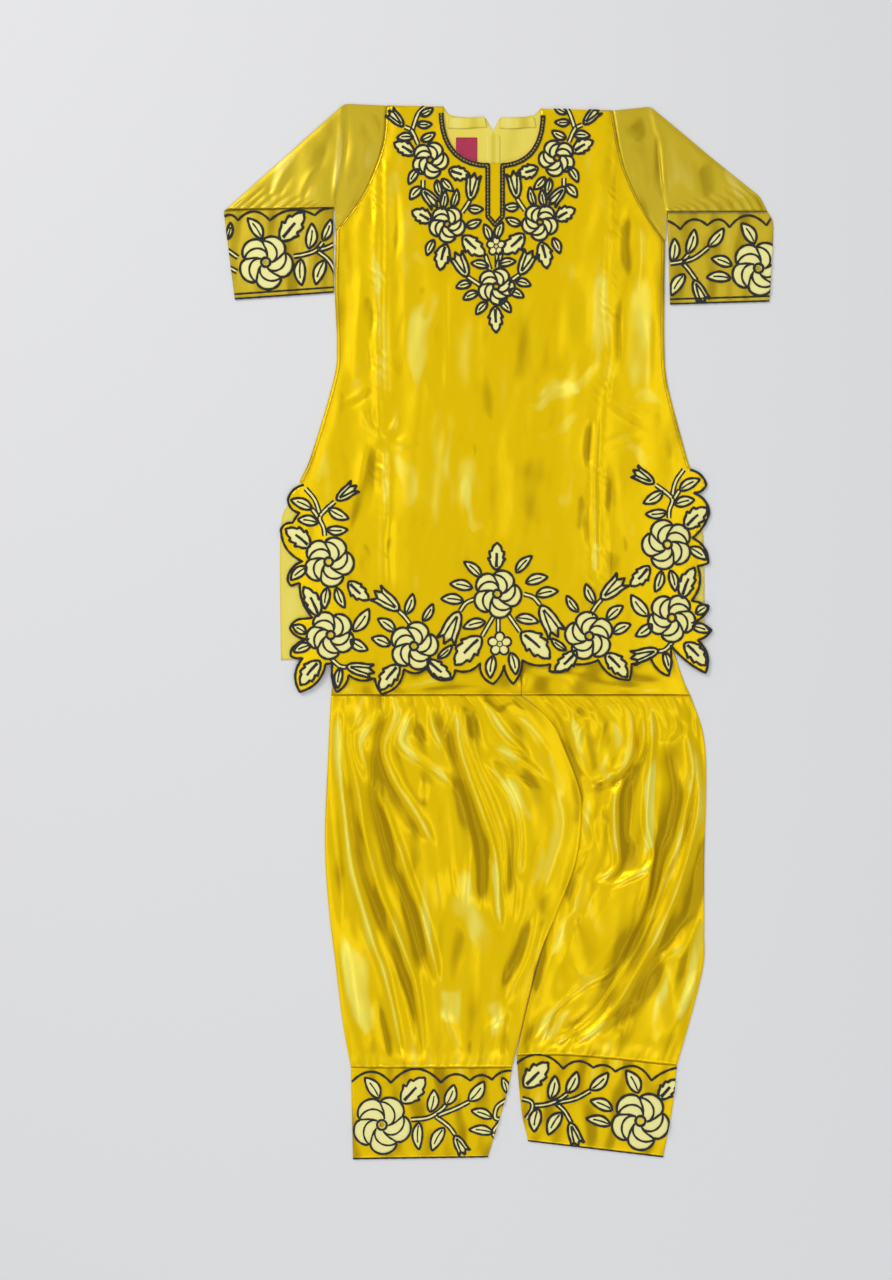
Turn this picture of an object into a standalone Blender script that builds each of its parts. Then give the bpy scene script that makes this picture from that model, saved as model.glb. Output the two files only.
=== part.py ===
"""A salwar kameez suit laid flat on a surface, face up: a short tunic over a pair of pleated trousers.

Every piece is placed on a lay plan, in millimetres: across is measured from the tunic's centre front, + to the
right as seen from above, and down is measured from its shoulder line towards the ankle hems. Heights are above
the surface that the suit lies on. Left and right are as seen from above.
"""

import math

import bmesh
import bpy
import numpy as np
from mathutils import Vector
from mathutils.geometry import delaunay_2d_cdt

MM = 0.001

# Cloth and the way it is stacked.
WALL = 1.2
LAYER_GAP = 0.3
SEAM_GAP = 0.5
TRIM_WALL = 0.8
TWO_PLIES = 2 * WALL + LAYER_GAP

# How far the whole lay reaches.
LEFT_REACH = -408.0
RIGHT_REACH = 415.5
TOP_REACH = -4.5
HEM_REACH = 1576.5

# Tunic.
NECK_CENTRE = -6.0
NECK_HALF_WIDTH = 72.5
NECK_DEPTH = 84.0
NECK_POWER = 2.6
BACK_NECK_DROP = 15.0
NOTCH_CENTRE = -4.5
NOTCH_HALF_WIDTH = 10.5
NOTCH_DROP = 37.0
SHOULDER_LEFT = (-163.5, -1.5)
SHOULDER_RIGHT = (174.0, 6.0)
ARMHOLE_LEFT = (SHOULDER_LEFT, (-169.5, 55.5), (-187.5, 108.0), (-210.0, 148.5), (-239.5, 186.0))
ARMHOLE_RIGHT = (SHOULDER_RIGHT, (186.0, 70.5), (198.0, 108.0), (220.0, 154.0), (253.0, 202.0))
SIDE_LEFT = ((-239.5, 186.0), (-241.5, 273.0), (-238.5, 355.0), (-243.0, 408.0), (-276.0, 520.0), (-294.0, 562.0))
SIDE_RIGHT = ((253.0, 202.0), (252.0, 288.0), (252.0, 355.0), (256.5, 415.0), (282.0, 513.0), (291.0, 543.0))
BACK_SLIT_LEFT = ((-294.0, 562.0), (-309.0, 592.0), (-321.0, 618.0), (-324.0, 678.0), (-322.5, 829.5))
BACK_SLIT_RIGHT = ((291.0, 543.0), (301.5, 573.0), (307.5, 603.0), (312.0, 678.0), (312.0, 800.0))
PANEL_SPACING = 30.0
SPACE_ALONG_CREASE = 34.0
SPACE_BESIDE_CREASE = 11.0
CLEAR_OF_EDGE = 8.0
CARRIED_FROM = 540.0
NECK_STEPS = 23
SIDE_STEPS = 9
BACK_HEM_STEPS = 14

# The cutwork edge of the front, from each slit down and along the hem to the middle: each row is a point of the
# edge and how far the stretch that ends there swells outwards.
CUTWORK_LEFT = (
    # across, down, swell
    (-288.0, 567.0, 0.0),
    (-312.0, 589.5, 5.0),
    (-294.0, 609.0, 5.0),
    (-304.5, 624.0, 1.0),
    (-322.5, 634.5, 4.0),
    (-289.5, 682.0, 9.0),
    (-309.0, 697.5, 3.0),
    (-307.5, 718.5, 4.0),
    (-294.0, 714.0, 0.0),
    (-274.5, 766.5, 6.0),
    (-294.0, 768.0, 0.0),
    (-309.0, 783.0, 3.0),
    (-279.0, 798.0, 5.0),
    (-300.0, 807.0, 2.0),
    (-307.5, 823.5, 3.0),
    (-289.5, 826.5, 2.0),
    (-294.0, 877.5, 9.0),
    (-255.0, 835.5, 9.0),
    (-244.5, 834.0, 0.0),
    (-238.5, 877.5, 4.0),
    (-220.5, 852.0, 4.0),
    (-181.5, 856.5, 6.0),
    (-171.0, 880.5, 2.0),
    (-138.0, 843.0, 9.0),
    (-103.5, 841.5, 7.0),
    (-66.0, 858.0, 9.0),
    (-61.5, 844.5, 1.0),
    (-24.0, 834.0, 7.0),
    (-4.5, 865.5, 7.0),
    (12.0, 837.0, 3.0),
)
CUTWORK_RIGHT = (
    (291.0, 544.5, 0.0),
    (315.0, 567.0, 5.0),
    (295.5, 579.0, 4.0),
    (319.5, 609.0, 6.0),
    (294.0, 646.5, 4.0),
    (318.0, 684.0, 7.0),
    (301.5, 688.5, 1.0),
    (292.5, 741.0, 8.0),
    (318.0, 753.0, 3.0),
    (291.0, 774.0, 4.0),
    (322.5, 784.5, 4.0),
    (301.5, 799.5, 3.0),
    (313.5, 849.0, 9.0),
    (261.0, 807.0, 4.0),
    (258.0, 853.5, 2.0),
    (231.0, 825.0, 5.0),
    (202.5, 835.5, 2.0),
    (199.5, 859.5, 1.0),
    (153.0, 829.5, 9.0),
    (115.5, 835.5, 3.0),
    (79.5, 846.0, 6.0),
    (81.0, 835.5, 0.0),
    (39.0, 829.5, 5.0),
    (25.5, 865.5, 4.0),
    (12.0, 837.0, 3.0),
)
SWELL_STEPS = 3

# Neck trims.
BRAID_WIDTH = 7.5
BRAID_HEIGHT = 1.2
BRAID_INSET = 4.0
PLACKET_HALF_WIDTH = 11.0
PLACKET_CENTRE = -1.5
PLACKET_FOOT = 165.0
PLACKET_POINT = 178.0
FACING_DEPTH = 16.0
FACING_LEFT = (-72.0, -14.0)
FACING_RIGHT = (5.0, 60.0)
STAND_WIDTH = 21.0
STAND_FOOT = 112.0
LABEL_LEFT = -60.0
LABEL_TOP = 46.5
LABEL_WIDTH = 31.5
LABEL_LENGTH = 44.0
NECK_LIFT = 1.4
NECK_LIFT_ACROSS = (-100.0, 60.0)
NECK_LIFT_DOWN = (5.0, 160.0)
NECK_LIFT_SLOPE = 30.0

# Sleeves, each from its armhole to the cuff seam, and their cuffs.
SLEEVE_OUTER_LEFT = (SHOULDER_LEFT, (-226.5, TOP_REACH), (-316.0, 75.0), (-406.0, 155.0))
SLEEVE_UNDER_LEFT = ((-239.5, 186.0), (-242.0, 151.5))
SLEEVE_OUTER_RIGHT = (SHOULDER_RIGHT, (231.0, 0.0), (320.0, 74.0), (396.0, 135.0), (407.0, 157.5))
SLEEVE_UNDER_RIGHT = ((253.0, 202.0), (256.0, 157.5))
SLEEVE_ROWS = 9
SLEEVE_COLUMNS = 26
SLEEVE_PRESSED_RISE = 1.6
SLEEVE_GATHER_RISE = 0.9
CUFF_ROWS = 5
CUFF_COLUMNS = 10
CUFF_LEFT_EDGES = (((LEFT_REACH, 156.0), (-402.0, 205.0), (-391.5, 288.0)), ((-244.0, 152.5), (-243.5, 277.5)))
CUFF_RIGHT_EDGES = (((257.0, 159.0), (261.0, 295.5)), ((408.0, 159.0), (RIGHT_REACH, 182.0), (409.5, 291.0)))

# Trousers: a belt that runs up under the tunic, two legs pleated into it, and the ankle cuffs.
BELT_TOP = 648.0
BELT_FOOT = 882.0
BELT_LEFT = ((-212.0, BELT_TOP), (-240.0, 830.0), (-247.0, BELT_FOOT))
BELT_RIGHT = ((216.0, BELT_TOP), (274.0, 840.0), (291.0, BELT_FOOT))
LEG_TOP = BELT_FOOT + SEAM_GAP
CROTCH = (38.0, LEG_TOP)
LEG_OUTER_LEFT = (
    (-247.5, LEG_TOP),
    (-252.0, 978.0),
    (-256.5, 1098.0),
    (-252.0, 1188.0),
    (-241.5, 1278.0),
    (-229.5, 1375.0),
    (-217.5, 1440.0),
)
LEG_INNER = (
    CROTCH,
    (73.5, 915.0),
    (96.0, 963.0),
    (118.5, 1023.0),
    (121.5, 1060.0),
    (114.0, 1128.0),
    (93.0, 1195.0),
    (66.0, 1270.0),
    (48.0, 1338.0),
    (36.0, 1390.0),
)
LEG_INNER_LEFT = (*LEG_INNER, (24.0, 1440.0))
LEG_INNER_RIGHT = (*LEG_INNER, (30.0, 1422.0))
LEG_OUTER_RIGHT = (
    (291.5, LEG_TOP),
    (310.5, 940.0),
    (315.0, 1010.0),
    (312.0, 1128.0),
    (312.0, 1233.0),
    (310.5, 1288.0),
    (291.0, 1368.0),
    (271.0, 1437.0),
)
ANKLE_SEAM_LEFT = ((-217.5, 1440.0), (24.0, 1440.0))
ANKLE_SEAM_RIGHT = ((30.0, 1422.0), (100.0, 1421.0), (180.0, 1427.0), (271.0, 1437.0))
ANKLE_SIDES_LEFT = (((-214.5, HEM_REACH),), ((16.0, 1480.0), (-12.0, 1573.5)))
ANKLE_SIDES_RIGHT = (((38.0, 1503.0), (48.0, 1549.5)), ((264.0, 1503.0), (250.5, 1573.5)))
BELT_SLOPE = 85.0
BELT_ROWS = 12
BELT_COLUMNS = 24
BELT_RUMPLE = 0.9
BELT_SHOWN_FROM = 838.0
LEG_LOFT = 3.0
LEG_ROWS = 17
LEG_COLUMNS = 38
SEAM_POINTS = 24
GATHER_HEIGHT = 1.3
GATHER_REACH = 45.0
LEG_LENGTH = 540.0
CROTCH_FOLD = 2.2
TUBE_EDGE = 2.0
TUBE_INNER_EDGE = 4.5
TUBE_INNER_SIDE = 2.5
TUBE_INNER_COLUMNS = 7
TUBE_UNDER_COLUMNS = 4

# Folds: a smooth path through three or four points, how high the fold stands, and how wide it is on its left
# and its right as it runs.
TUNIC_FOLDS = (
    # path, height, left width, right width
    (((-178, 60), (-177, 290), (-175, 470), (-169, 740)), 2.2, 9, 6),
    (((-190, 110), (-192, 250), (-190, 400)), 1.6, 8, 6),
    (((-150, 110), (-148, 200), (-150, 300)), 1.3, 8, 8),
    (((-242, 455), (-212, 440), (-180, 424)), 1.6, 6, 6),
    (((-200, 478), (-178, 486), (-148, 506)), 1.5, 6, 7),
    (((170, 140), (166, 300), (152, 500), (142, 740)), 2.2, 6, 9),
    (((196, 130), (201, 210), (195, 275)), 2.0, 9, 8),
    (((182, 290), (189, 380), (184, 450)), 1.6, 7, 7),
    (((158, 448), (190, 470), (224, 490)), 1.5, 6, 6),
    (((156, 516), (190, 503), (224, 493)), 1.4, 6, 6),
    (((-10, 470), (80, 415), (150, 400)), 1.3, 20, 16),
)
LEFT_LEG_FOLDS = (
    (((-238, 860), (-240, 963), (-224, 1113), (-158, 1317), (-108, 1450)), 4.2, 8, 12),
    (((-176, 870), (-226, 945), (-212, 1005), (-180, 1158), (-114, 1316), (-104, 1450)), 4.6, 9, 13),
    (((-138, 870), (-169, 948), (-132, 1038), (-87, 1113)), 4.4, 9, 14),
    (((-112, 870), (-150, 950), (-184, 1010), (-158, 1098), (-114, 1200), (-92, 1290), (-50, 1370)), 3.6, 12, 10),
    (((-97, 870), (-94, 930), (-74, 975)), 3.8, 8, 8),
    (((-58, 870), (-56, 963), (-30, 1068), (-4, 1128), (0, 1188), (12, 1270)), 4.8, 12, 9),
    (((-38, 870), (-34, 920), (-26, 956)), 2.8, 6, 7),
    (((-22, 870), (14, 948), (60, 992)), 3.6, 8, 9),
    (((-24, 958), (36, 980), (74, 1030)), 2.6, 9, 12),
    (((-24, 1008), (2, 1062), (10, 1118)), 2.4, 8, 8),
    (((60, 1040), (92, 1100), (70, 1190), (36, 1280), (10, 1340)), 2.4, 12, 12),
    (((-60, 1300), (-14, 1350), (20, 1360)), 2.0, 12, 12),
)
RIGHT_LEG_FOLDS = (
    (((201, 870), (202, 948), (170, 998), (126, 1018)), 4.6, 8, 10),
    (((219, 870), (222, 936), (176, 1034), (180, 1110), (150, 1152)), 4.4, 8, 10),
    (((231, 870), (228, 980), (206, 1070), (232, 1128), (200, 1190), (176, 1270), (110, 1325), (42, 1385)), 4.8, 9, 14),
    (((280, 890), (292, 980), (262, 1122), (216, 1240), (160, 1345), (84, 1402)), 4.4, 8, 9),
    (((302, 950), (294, 1062), (262, 1180), (206, 1290), (150, 1365), (90, 1410)), 4.0, 8, 10),
    (((300, 1200), (276, 1270), (226, 1296), (204, 1360), (190, 1425)), 3.0, 14, 10),
    (((306, 1285), (272, 1360), (246, 1430)), 2.6, 10, 9),
    (((78, 895), (120, 905), (130, 930), (100, 960)), 3.0, 8, 8),
    (((140, 1020), (160, 1060), (176, 1110)), 2.2, 10, 10),
    (((118, 1120), (130, 1105), (128, 1160), (104, 1210)), 2.4, 9, 9),
)
FOLD_LIMIT = 6.0
FOLD_FADE = 0.18

# Thick embroidered flowers, raised as plates with a lobe for each petal.
FLOWER_WALL = 1.0
PETALS = 6
FLOWER_LIFT = 0.5
FRONT_FLOWERS = (
    # name, across, down, radius, turn in degrees
    ("neck_flower_left_1", -99.0, 81.0, 26.0, -10.0),
    ("neck_flower_left_2", -73.5, 177.0, 28.0, -40.0),
    ("neck_flower_right_1", 90.0, 79.5, 26.0, 10.0),
    ("neck_flower_right_2", 66.0, 172.5, 28.0, 40.0),
    ("neck_flower_centre", 0.0, 267.0, 28.0, 20.0),
    ("neck_flower_bud", -1.5, 207.0, 11.0, 0.0),
    ("hem_flower_left_1", -250.5, 682.5, 34.0, 0.0),
    ("hem_flower_left_2", -247.5, 793.5, 32.0, -25.0),
    ("hem_flower_left_3", -123.0, 807.0, 33.0, -50.0),
    ("hem_flower_right_1", 255.0, 657.0, 34.0, 0.0),
    ("hem_flower_right_2", 260.0, 766.5, 31.0, 25.0),
    ("hem_flower_right_3", 136.5, 790.5, 34.0, 50.0),
    ("hem_flower_centre", 1.5, 732.0, 36.0, 15.0),
    ("hem_flower_bud", 6.0, 807.0, 15.0, 0.0),
)
CUFF_FLOWERS = (
    ("cuff_flower_left", -345.0, 232.5, 40.0, 10.0),
    ("cuff_flower_right", 370.0, 240.0, 40.0, 30.0),
    ("ankle_flower_left", -170.0, 1522.0, 43.0, 10.0),
    ("ankle_flower_right", 216.0, 1519.0, 43.0, 40.0),
)

SATIN = ("satin", (0.72, 0.49, 0.01), 0.32)
SATIN_REVERSE = ("satin_reverse", (0.80, 0.65, 0.16), 0.55)
BRAID = ("braid", (0.05, 0.045, 0.03), 0.6)
THREAD = ("embroidery_thread", (0.83, 0.78, 0.42), 0.5)
LABEL = ("label", (0.60, 0.02, 0.10), 0.6)


def place(across, down, height):
    """A point of the lay plan in metres, with the lay's middle over the origin."""
    middle_across = (LEFT_REACH + RIGHT_REACH) / 2
    middle_down = (TOP_REACH + HEM_REACH) / 2
    return Vector(((across - middle_across) * MM, (middle_down - down) * MM, height * MM))


def smooth(share):
    """0 below 0, 1 above 1, and an easy S between."""
    share = np.clip(share, 0.0, 1.0)
    return share * share * (3 - 2 * share)


def curve_through(points, steps=10):
    """A smooth line through the points, as an array, with the given steps between each two."""
    points = np.array(points, float)
    if len(points) == 2:
        return points[0] + np.linspace(0, 1, steps + 1)[:, None] * (points[1] - points[0])
    ends = np.vstack([2 * points[0] - points[1], points, 2 * points[-1] - points[-2]])
    line = []
    for before, start, end, after in zip(ends, ends[1:], ends[2:], ends[3:]):
        for t in np.linspace(0, 1, steps, endpoint=False):
            line.append(
                0.5 * (2 * start + (end - before) * t
                       + (2 * before - 5 * start + 4 * end - after) * t**2
                       + (3 * start - before - 3 * end + after) * t**3)
            )
    return np.array([*line, points[-1]])


def spaced(line, count):
    """count + 1 points spread evenly along a line."""
    line = np.asarray(line, float)
    along = np.concatenate([[0], np.cumsum(np.linalg.norm(np.diff(line, axis=0), axis=1))])
    at = np.linspace(0, along[-1], count + 1)
    return np.stack([np.interp(at, along, line[:, 0]), np.interp(at, along, line[:, 1])], axis=1)


def swelling(start, end, swell, steps):
    """The points after start on an arc to end that swells to its right, as the edge of a leaf does."""
    start, end = np.array(start), np.array(end)
    chord = end - start
    side = np.array([-chord[1], chord[0]]) / max(np.linalg.norm(chord), 1e-9)
    shares = np.linspace(0, 1, steps + 1)[1:]
    return [tuple(start + chord * t + side * swell * 4 * t * (1 - t)) for t in shares]


def beside(across, down, line):
    """How far points lie from a line, - to its right, and how far along it the nearest place is, from 0 to 1."""
    starts, ends = line[:-1], line[1:]
    run = ends - starts
    lengths = np.maximum(np.linalg.norm(run, axis=1), 1e-9)
    gone = np.concatenate([[0], np.cumsum(lengths)])
    offset = np.stack([np.ravel(across), np.ravel(down)], axis=1)[:, None] - starts
    share = np.clip((offset * run).sum(2) / lengths**2, 0, 1)
    away = offset - share[..., None] * run
    distance = np.linalg.norm(away, axis=2)
    nearest = distance.argmin(axis=1)
    pick = np.arange(len(nearest))
    turn = run[nearest, 0] * away[pick, nearest, 1] - run[nearest, 1] * away[pick, nearest, 0]
    along = (gone[nearest] + share[pick, nearest] * lengths[nearest]) / gone[-1]
    shape = np.shape(across)
    return (np.sign(turn) * distance[pick, nearest]).reshape(shape), along.reshape(shape)


def fold_height(across, down, folds):
    """How high the folds stand at each point: a soft ridge along each path, and never above FOLD_LIMIT."""
    total = np.zeros(np.shape(across))
    for path, height, left_width, right_width in folds:
        distance, along = beside(across, down, curve_through(path, 6))
        width = np.where(distance > 0, left_width, right_width)
        fade = smooth(along / FOLD_FADE) * smooth((1 - along) / FOLD_FADE)
        total = total + height * np.exp(-((distance / width) ** 2)) * fade
    return FOLD_LIMIT * (1 - np.exp(-total / FOLD_LIMIT))


def belt_lift(across, down):
    """How high the tunic's underside is carried: over the trousers' belt, and down to the surface beside it."""
    left = np.interp(down, [p[1] for p in BELT_LEFT], [p[0] for p in BELT_LEFT])
    right = np.interp(down, [p[1] for p in BELT_RIGHT], [p[0] for p in BELT_RIGHT])
    outside = np.maximum.reduce([left - across, across - right, BELT_TOP - down, 0 * down])
    return (TWO_PLIES + LAYER_GAP) * (1 - smooth((outside - 2) / BELT_SLOPE))


def neck_lift(across, down):
    """The front rises a little over the label and the back opening's edge."""
    lift = NECK_LIFT
    for value, (low, high) in ((across, NECK_LIFT_ACROSS), (down, NECK_LIFT_DOWN)):
        lift = lift * smooth((value - low) / NECK_LIFT_SLOPE) * smooth((high - value) / NECK_LIFT_SLOPE)
    return lift


def back_top(across, down):
    """The height of the back panel's upper side."""
    return belt_lift(across, down) + WALL


def front_foot(across, down):
    """The height of the front panel's underside, with twice the gap where the panels slope."""
    sloping = smooth(belt_lift(across, down) / LAYER_GAP)
    return back_top(across, down) + LAYER_GAP * (1 + sloping) + neck_lift(across, down)


def front_top(across, down):
    """The height of the front panel's upper side, with its folds."""
    return front_foot(across, down) + WALL + fold_height(across, down, TUNIC_FOLDS)


def material(kind):
    """The named finish, made once."""
    name, colour, roughness = kind
    made = bpy.data.materials.get(name)
    if made is None:
        made = bpy.data.materials.new(name)
        made.use_nodes = True
        shader = made.node_tree.nodes["Principled BSDF"]
        shader.inputs["Base Color"].default_value = (*colour, 1.0)
        shader.inputs["Roughness"].default_value = roughness
        shader.inputs["Metallic"].default_value = 0.0
        made.diffuse_color = (*colour, 1.0)
    return made


def add_object(name, points, faces, kind):
    """One closed solid from its points and faces, with its faces turned outwards."""
    mesh = bpy.data.meshes.new(name)
    mesh.from_pydata(points, [], faces)
    sorted_out = bmesh.new()
    sorted_out.from_mesh(mesh)
    bmesh.ops.recalc_face_normals(sorted_out, faces=sorted_out.faces)
    sorted_out.to_mesh(mesh)
    sorted_out.free()
    mesh.materials.append(material(kind))
    mesh.shade_smooth()
    mesh.set_sharp_from_angle(angle=math.radians(50))
    made = bpy.data.objects.new(name, mesh)
    bpy.context.scene.collection.objects.link(made)
    return made


def inside(points, outline):
    """Which points lie inside the closed outline, by counting the edges that a ray crosses."""
    outline = np.asarray(outline)
    following = np.roll(outline, -1, axis=0)
    x, y = points[:, :1], points[:, 1:]
    spans = (outline[:, 1] > y) != (following[:, 1] > y)
    rise = np.where(following[:, 1] == outline[:, 1], 1e-9, following[:, 1] - outline[:, 1])
    cut = outline[:, 0] + (y - outline[:, 1]) * (following[:, 0] - outline[:, 0]) / rise
    return (spans & (x < cut)).sum(axis=1) % 2 == 1


def staggered(outline, spacing, clear):
    """Points on a staggered grid inside the outline, at least clear from its edge."""
    outline = np.asarray(outline)
    low, high = outline.min(axis=0), outline.max(axis=0)
    row_step = spacing * math.sqrt(3) / 2
    found = []
    first_row, last_row = math.floor(low[1] / row_step), math.ceil(high[1] / row_step)
    for row in range(first_row, last_row + 1):
        across = np.arange(math.floor(low[0] / spacing), math.ceil(high[0] / spacing) + 1) * spacing
        across = across + (spacing / 2 if row % 2 else 0)
        found.append(np.stack([across, np.full_like(across, row * row_step)], axis=1))
    found = np.concatenate(found)
    found = found[inside(found, outline)]
    edge_distance, _ = beside(found[:, 0], found[:, 1], np.vstack([outline, outline[:1]]))
    return found[np.abs(edge_distance) > clear]


def sheet(name, outline, inner_points, foot_of, top_of, kind):
    """A cloth wall over a flat outline: the same triangles above and below, and a wall round the edge."""
    flat = [Vector((across, -down)) for across, down in [*outline, *inner_points]]
    rim = [(i, (i + 1) % len(outline)) for i in range(len(outline))]
    corners, _, triangles, *_ = delaunay_2d_cdt(flat, rim, [], 1, 1e-4)
    across = np.array([p.x for p in corners])
    down = -np.array([p.y for p in corners])
    count = len(corners)
    points = [place(*p) for p in zip(across, down, top_of(across, down))]
    points += [place(*p) for p in zip(across, down, foot_of(across, down))]
    edges = {edge for a, b, c in triangles for edge in ((a, b), (b, c), (c, a))}
    border = [edge for edge in edges if edge[::-1] not in edges]
    faces = [tuple(t) for t in triangles]
    faces += [tuple(count + i for i in reversed(t)) for t in triangles]
    faces += [(b, a, count + a, count + b) for a, b in border]
    return add_object(name, points, faces, kind)


def patch(start, end, left, right, s, t):
    """The point of a four-sided patch at s from start to end and t from left to right, as an array.

    Its sides follow the four curves, and the inside blends them, less the corners that both blends count.
    """
    def at(line, share):
        place_on = share * (len(line) - 1)
        low = np.minimum(place_on.astype(int), len(line) - 2)
        return line[low] + (place_on - low)[..., None] * (line[low + 1] - line[low])

    s1, t1 = s[..., None], t[..., None]
    sides = (1 - t1) * at(left, s) + t1 * at(right, s)
    mouths = (1 - s1) * at(start, t) + s1 * at(end, t)
    corners = ((1 - s1) * ((1 - t1) * start[0] + t1 * start[-1]) + s1 * ((1 - t1) * end[0] + t1 * end[-1]))
    return sides + mouths - corners


def ring_stations(columns, edge):
    """The stations of a flattened ring: how far across each is, and 1 above, -1 below or 0 at a side."""
    top = np.linspace(edge, 1 - edge, columns)
    below = np.linspace(1 - edge, edge, TUBE_UNDER_COLUMNS)
    across = np.concatenate([[0], top, [1], below])
    level = np.concatenate([[0], np.ones(columns), [0], -np.ones(len(below))])
    return across, level


def flat_tube(name, start, end, left, right, top_of, rows, columns, kind):
    """A tube of cloth pressed flat: an outer skin with its folds above, a plain hollow inside, and open mouths."""
    s_rows = np.linspace(0, 1, rows + 1)
    middle_width = float(np.linalg.norm(spaced(left, 2)[1] - spaced(right, 2)[1]))
    points, rings, arounds = [], [], []
    skins = (
        # count, edge, side, wall, folded
        (columns, TUBE_EDGE, 0.0, 0.0, True),
        (TUBE_INNER_COLUMNS, TUBE_INNER_EDGE, TUBE_INNER_SIDE, WALL, False),
    )
    for count, edge, side, wall, folded in skins:
        across_ring, level = ring_stations(count, edge / middle_width)
        inset = np.where(across_ring < 0.5, side, -side) / middle_width
        across_ring = np.where(level == 0, across_ring + inset, across_ring)
        s, t = np.meshgrid(s_rows, across_ring, indexing="ij")
        plan = patch(start, end, left, right, s, t)
        above = top_of(plan[..., 0], plan[..., 1], s, t, folded) - wall
        height = np.where(level > 0, above, np.where(level < 0, wall, TWO_PLIES / 2))
        first = len(points)
        ring_size = len(across_ring)
        for row in range(rows + 1):
            for station in range(ring_size):
                points.append(place(plan[row, station, 0], plan[row, station, 1], height[row, station]))
        rings.append([[first + row * ring_size + i for i in range(ring_size)] for row in range(rows + 1)])
        around = np.where(level > 0, across_ring / 2, 1 - across_ring / 2)
        around[0], around[count + 1] = 0.0, 0.5
        arounds.append(around)
    faces = []
    for ring_rows in rings:
        for lower, upper in zip(ring_rows, ring_rows[1:]):
            size = len(lower)
            faces += [(lower[i], lower[(i + 1) % size], upper[(i + 1) % size], upper[i]) for i in range(size)]
    for row in (0, rows):
        faces += zipped(rings[0][row], rings[1][row], arounds[0], arounds[1])
    return add_object(name, points, faces, kind)


def zipped(ring_a, ring_b, around_a, around_b):
    """Triangles that close the band between two rings, taking whichever ring's next point comes first round."""
    a_next = [*around_a[1:], 1 + around_a[0]]
    b_next = [*around_b[1:], 1 + around_b[0]]
    i = j = 0
    faces = []
    while i < len(ring_a) or j < len(ring_b):
        if j == len(ring_b) or (i < len(ring_a) and a_next[i] <= b_next[j]):
            faces.append((ring_a[i], ring_a[(i + 1) % len(ring_a)], ring_b[j % len(ring_b)]))
            i += 1
        else:
            faces.append((ring_a[i % len(ring_a)], ring_b[(j + 1) % len(ring_b)], ring_b[j]))
            j += 1
    return faces


def front_neck(count):
    """The front neck edge from the left shoulder round to the right one: a squarish U."""
    turn = np.linspace(math.pi, 0, count)
    across = NECK_CENTRE + NECK_HALF_WIDTH * np.sign(np.cos(turn)) * np.abs(np.cos(turn)) ** (2 / NECK_POWER)
    down = NECK_DEPTH * np.sin(turn) ** (2 / NECK_POWER)
    return [(a, d + shoulder_down(a)) for a, d in zip(across, down)]


def shoulder_down(across):
    """How far down the shoulder line is: it slopes a little to the right."""
    share = (across - SHOULDER_LEFT[0]) / (SHOULDER_RIGHT[0] - SHOULDER_LEFT[0])
    return SHOULDER_LEFT[1] + share * (SHOULDER_RIGHT[1] - SHOULDER_LEFT[1])


def cutwork_edge():
    """The front's cutwork edge, from the left slit round the hem to the right slit."""
    halves = []
    for rows, outwards in ((CUTWORK_LEFT, 1), (CUTWORK_RIGHT, -1)):
        half = [rows[0][:2]]
        for across, down, swell in rows[1:]:
            half += swelling(half[-1], (across, down), outwards * swell, SWELL_STEPS if swell else 1)
        halves.append(half)
    left, right = halves
    return left + right[-2::-1]


def edge_points(points, steps):
    """The points of an edge, spread evenly along the smooth line through its own points."""
    return [tuple(p) for p in spaced(curve_through(points), steps)]


def side_edge(armhole, side):
    """One armhole and the side seam below it."""
    return edge_points(armhole, SLEEVE_COLUMNS) + edge_points(side, SIDE_STEPS)[1:]


def front_outline():
    """All round the front: neck, right shoulder, armhole and side, cutwork hem, and up the left."""
    right = side_edge(ARMHOLE_RIGHT, SIDE_RIGHT)
    left = side_edge(ARMHOLE_LEFT, SIDE_LEFT)
    return front_neck(NECK_STEPS) + right + cutwork_edge()[-2::-1] + left[::-1]


def back_outline():
    """All round the back: the shallow neck with its notch, then the same shoulders and sides, and a plain hem."""
    left_neck, right_neck = NECK_CENTRE - NECK_HALF_WIDTH, NECK_CENTRE + NECK_HALF_WIDTH
    neck = [
        (left_neck, shoulder_down(left_neck)),
        (left_neck + 8, BACK_NECK_DROP * 0.8),
        (left_neck + 22, BACK_NECK_DROP),
        (NOTCH_CENTRE - NOTCH_HALF_WIDTH, BACK_NECK_DROP + 3),
        (NOTCH_CENTRE, NOTCH_DROP),
        (NOTCH_CENTRE + NOTCH_HALF_WIDTH, BACK_NECK_DROP + 2),
        (right_neck - 22, BACK_NECK_DROP),
        (right_neck - 8, BACK_NECK_DROP * 0.8),
        (right_neck, shoulder_down(right_neck)),
    ]
    right = side_edge(ARMHOLE_RIGHT, SIDE_RIGHT) + edge_points(BACK_SLIT_RIGHT, SIDE_STEPS)[1:]
    left = side_edge(ARMHOLE_LEFT, SIDE_LEFT) + edge_points(BACK_SLIT_LEFT, SIDE_STEPS)[1:]
    hem = edge_points((BACK_SLIT_RIGHT[-1], BACK_SLIT_LEFT[-1]), BACK_HEM_STEPS)[1:-1]
    return neck + right + hem + left[::-1]


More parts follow.
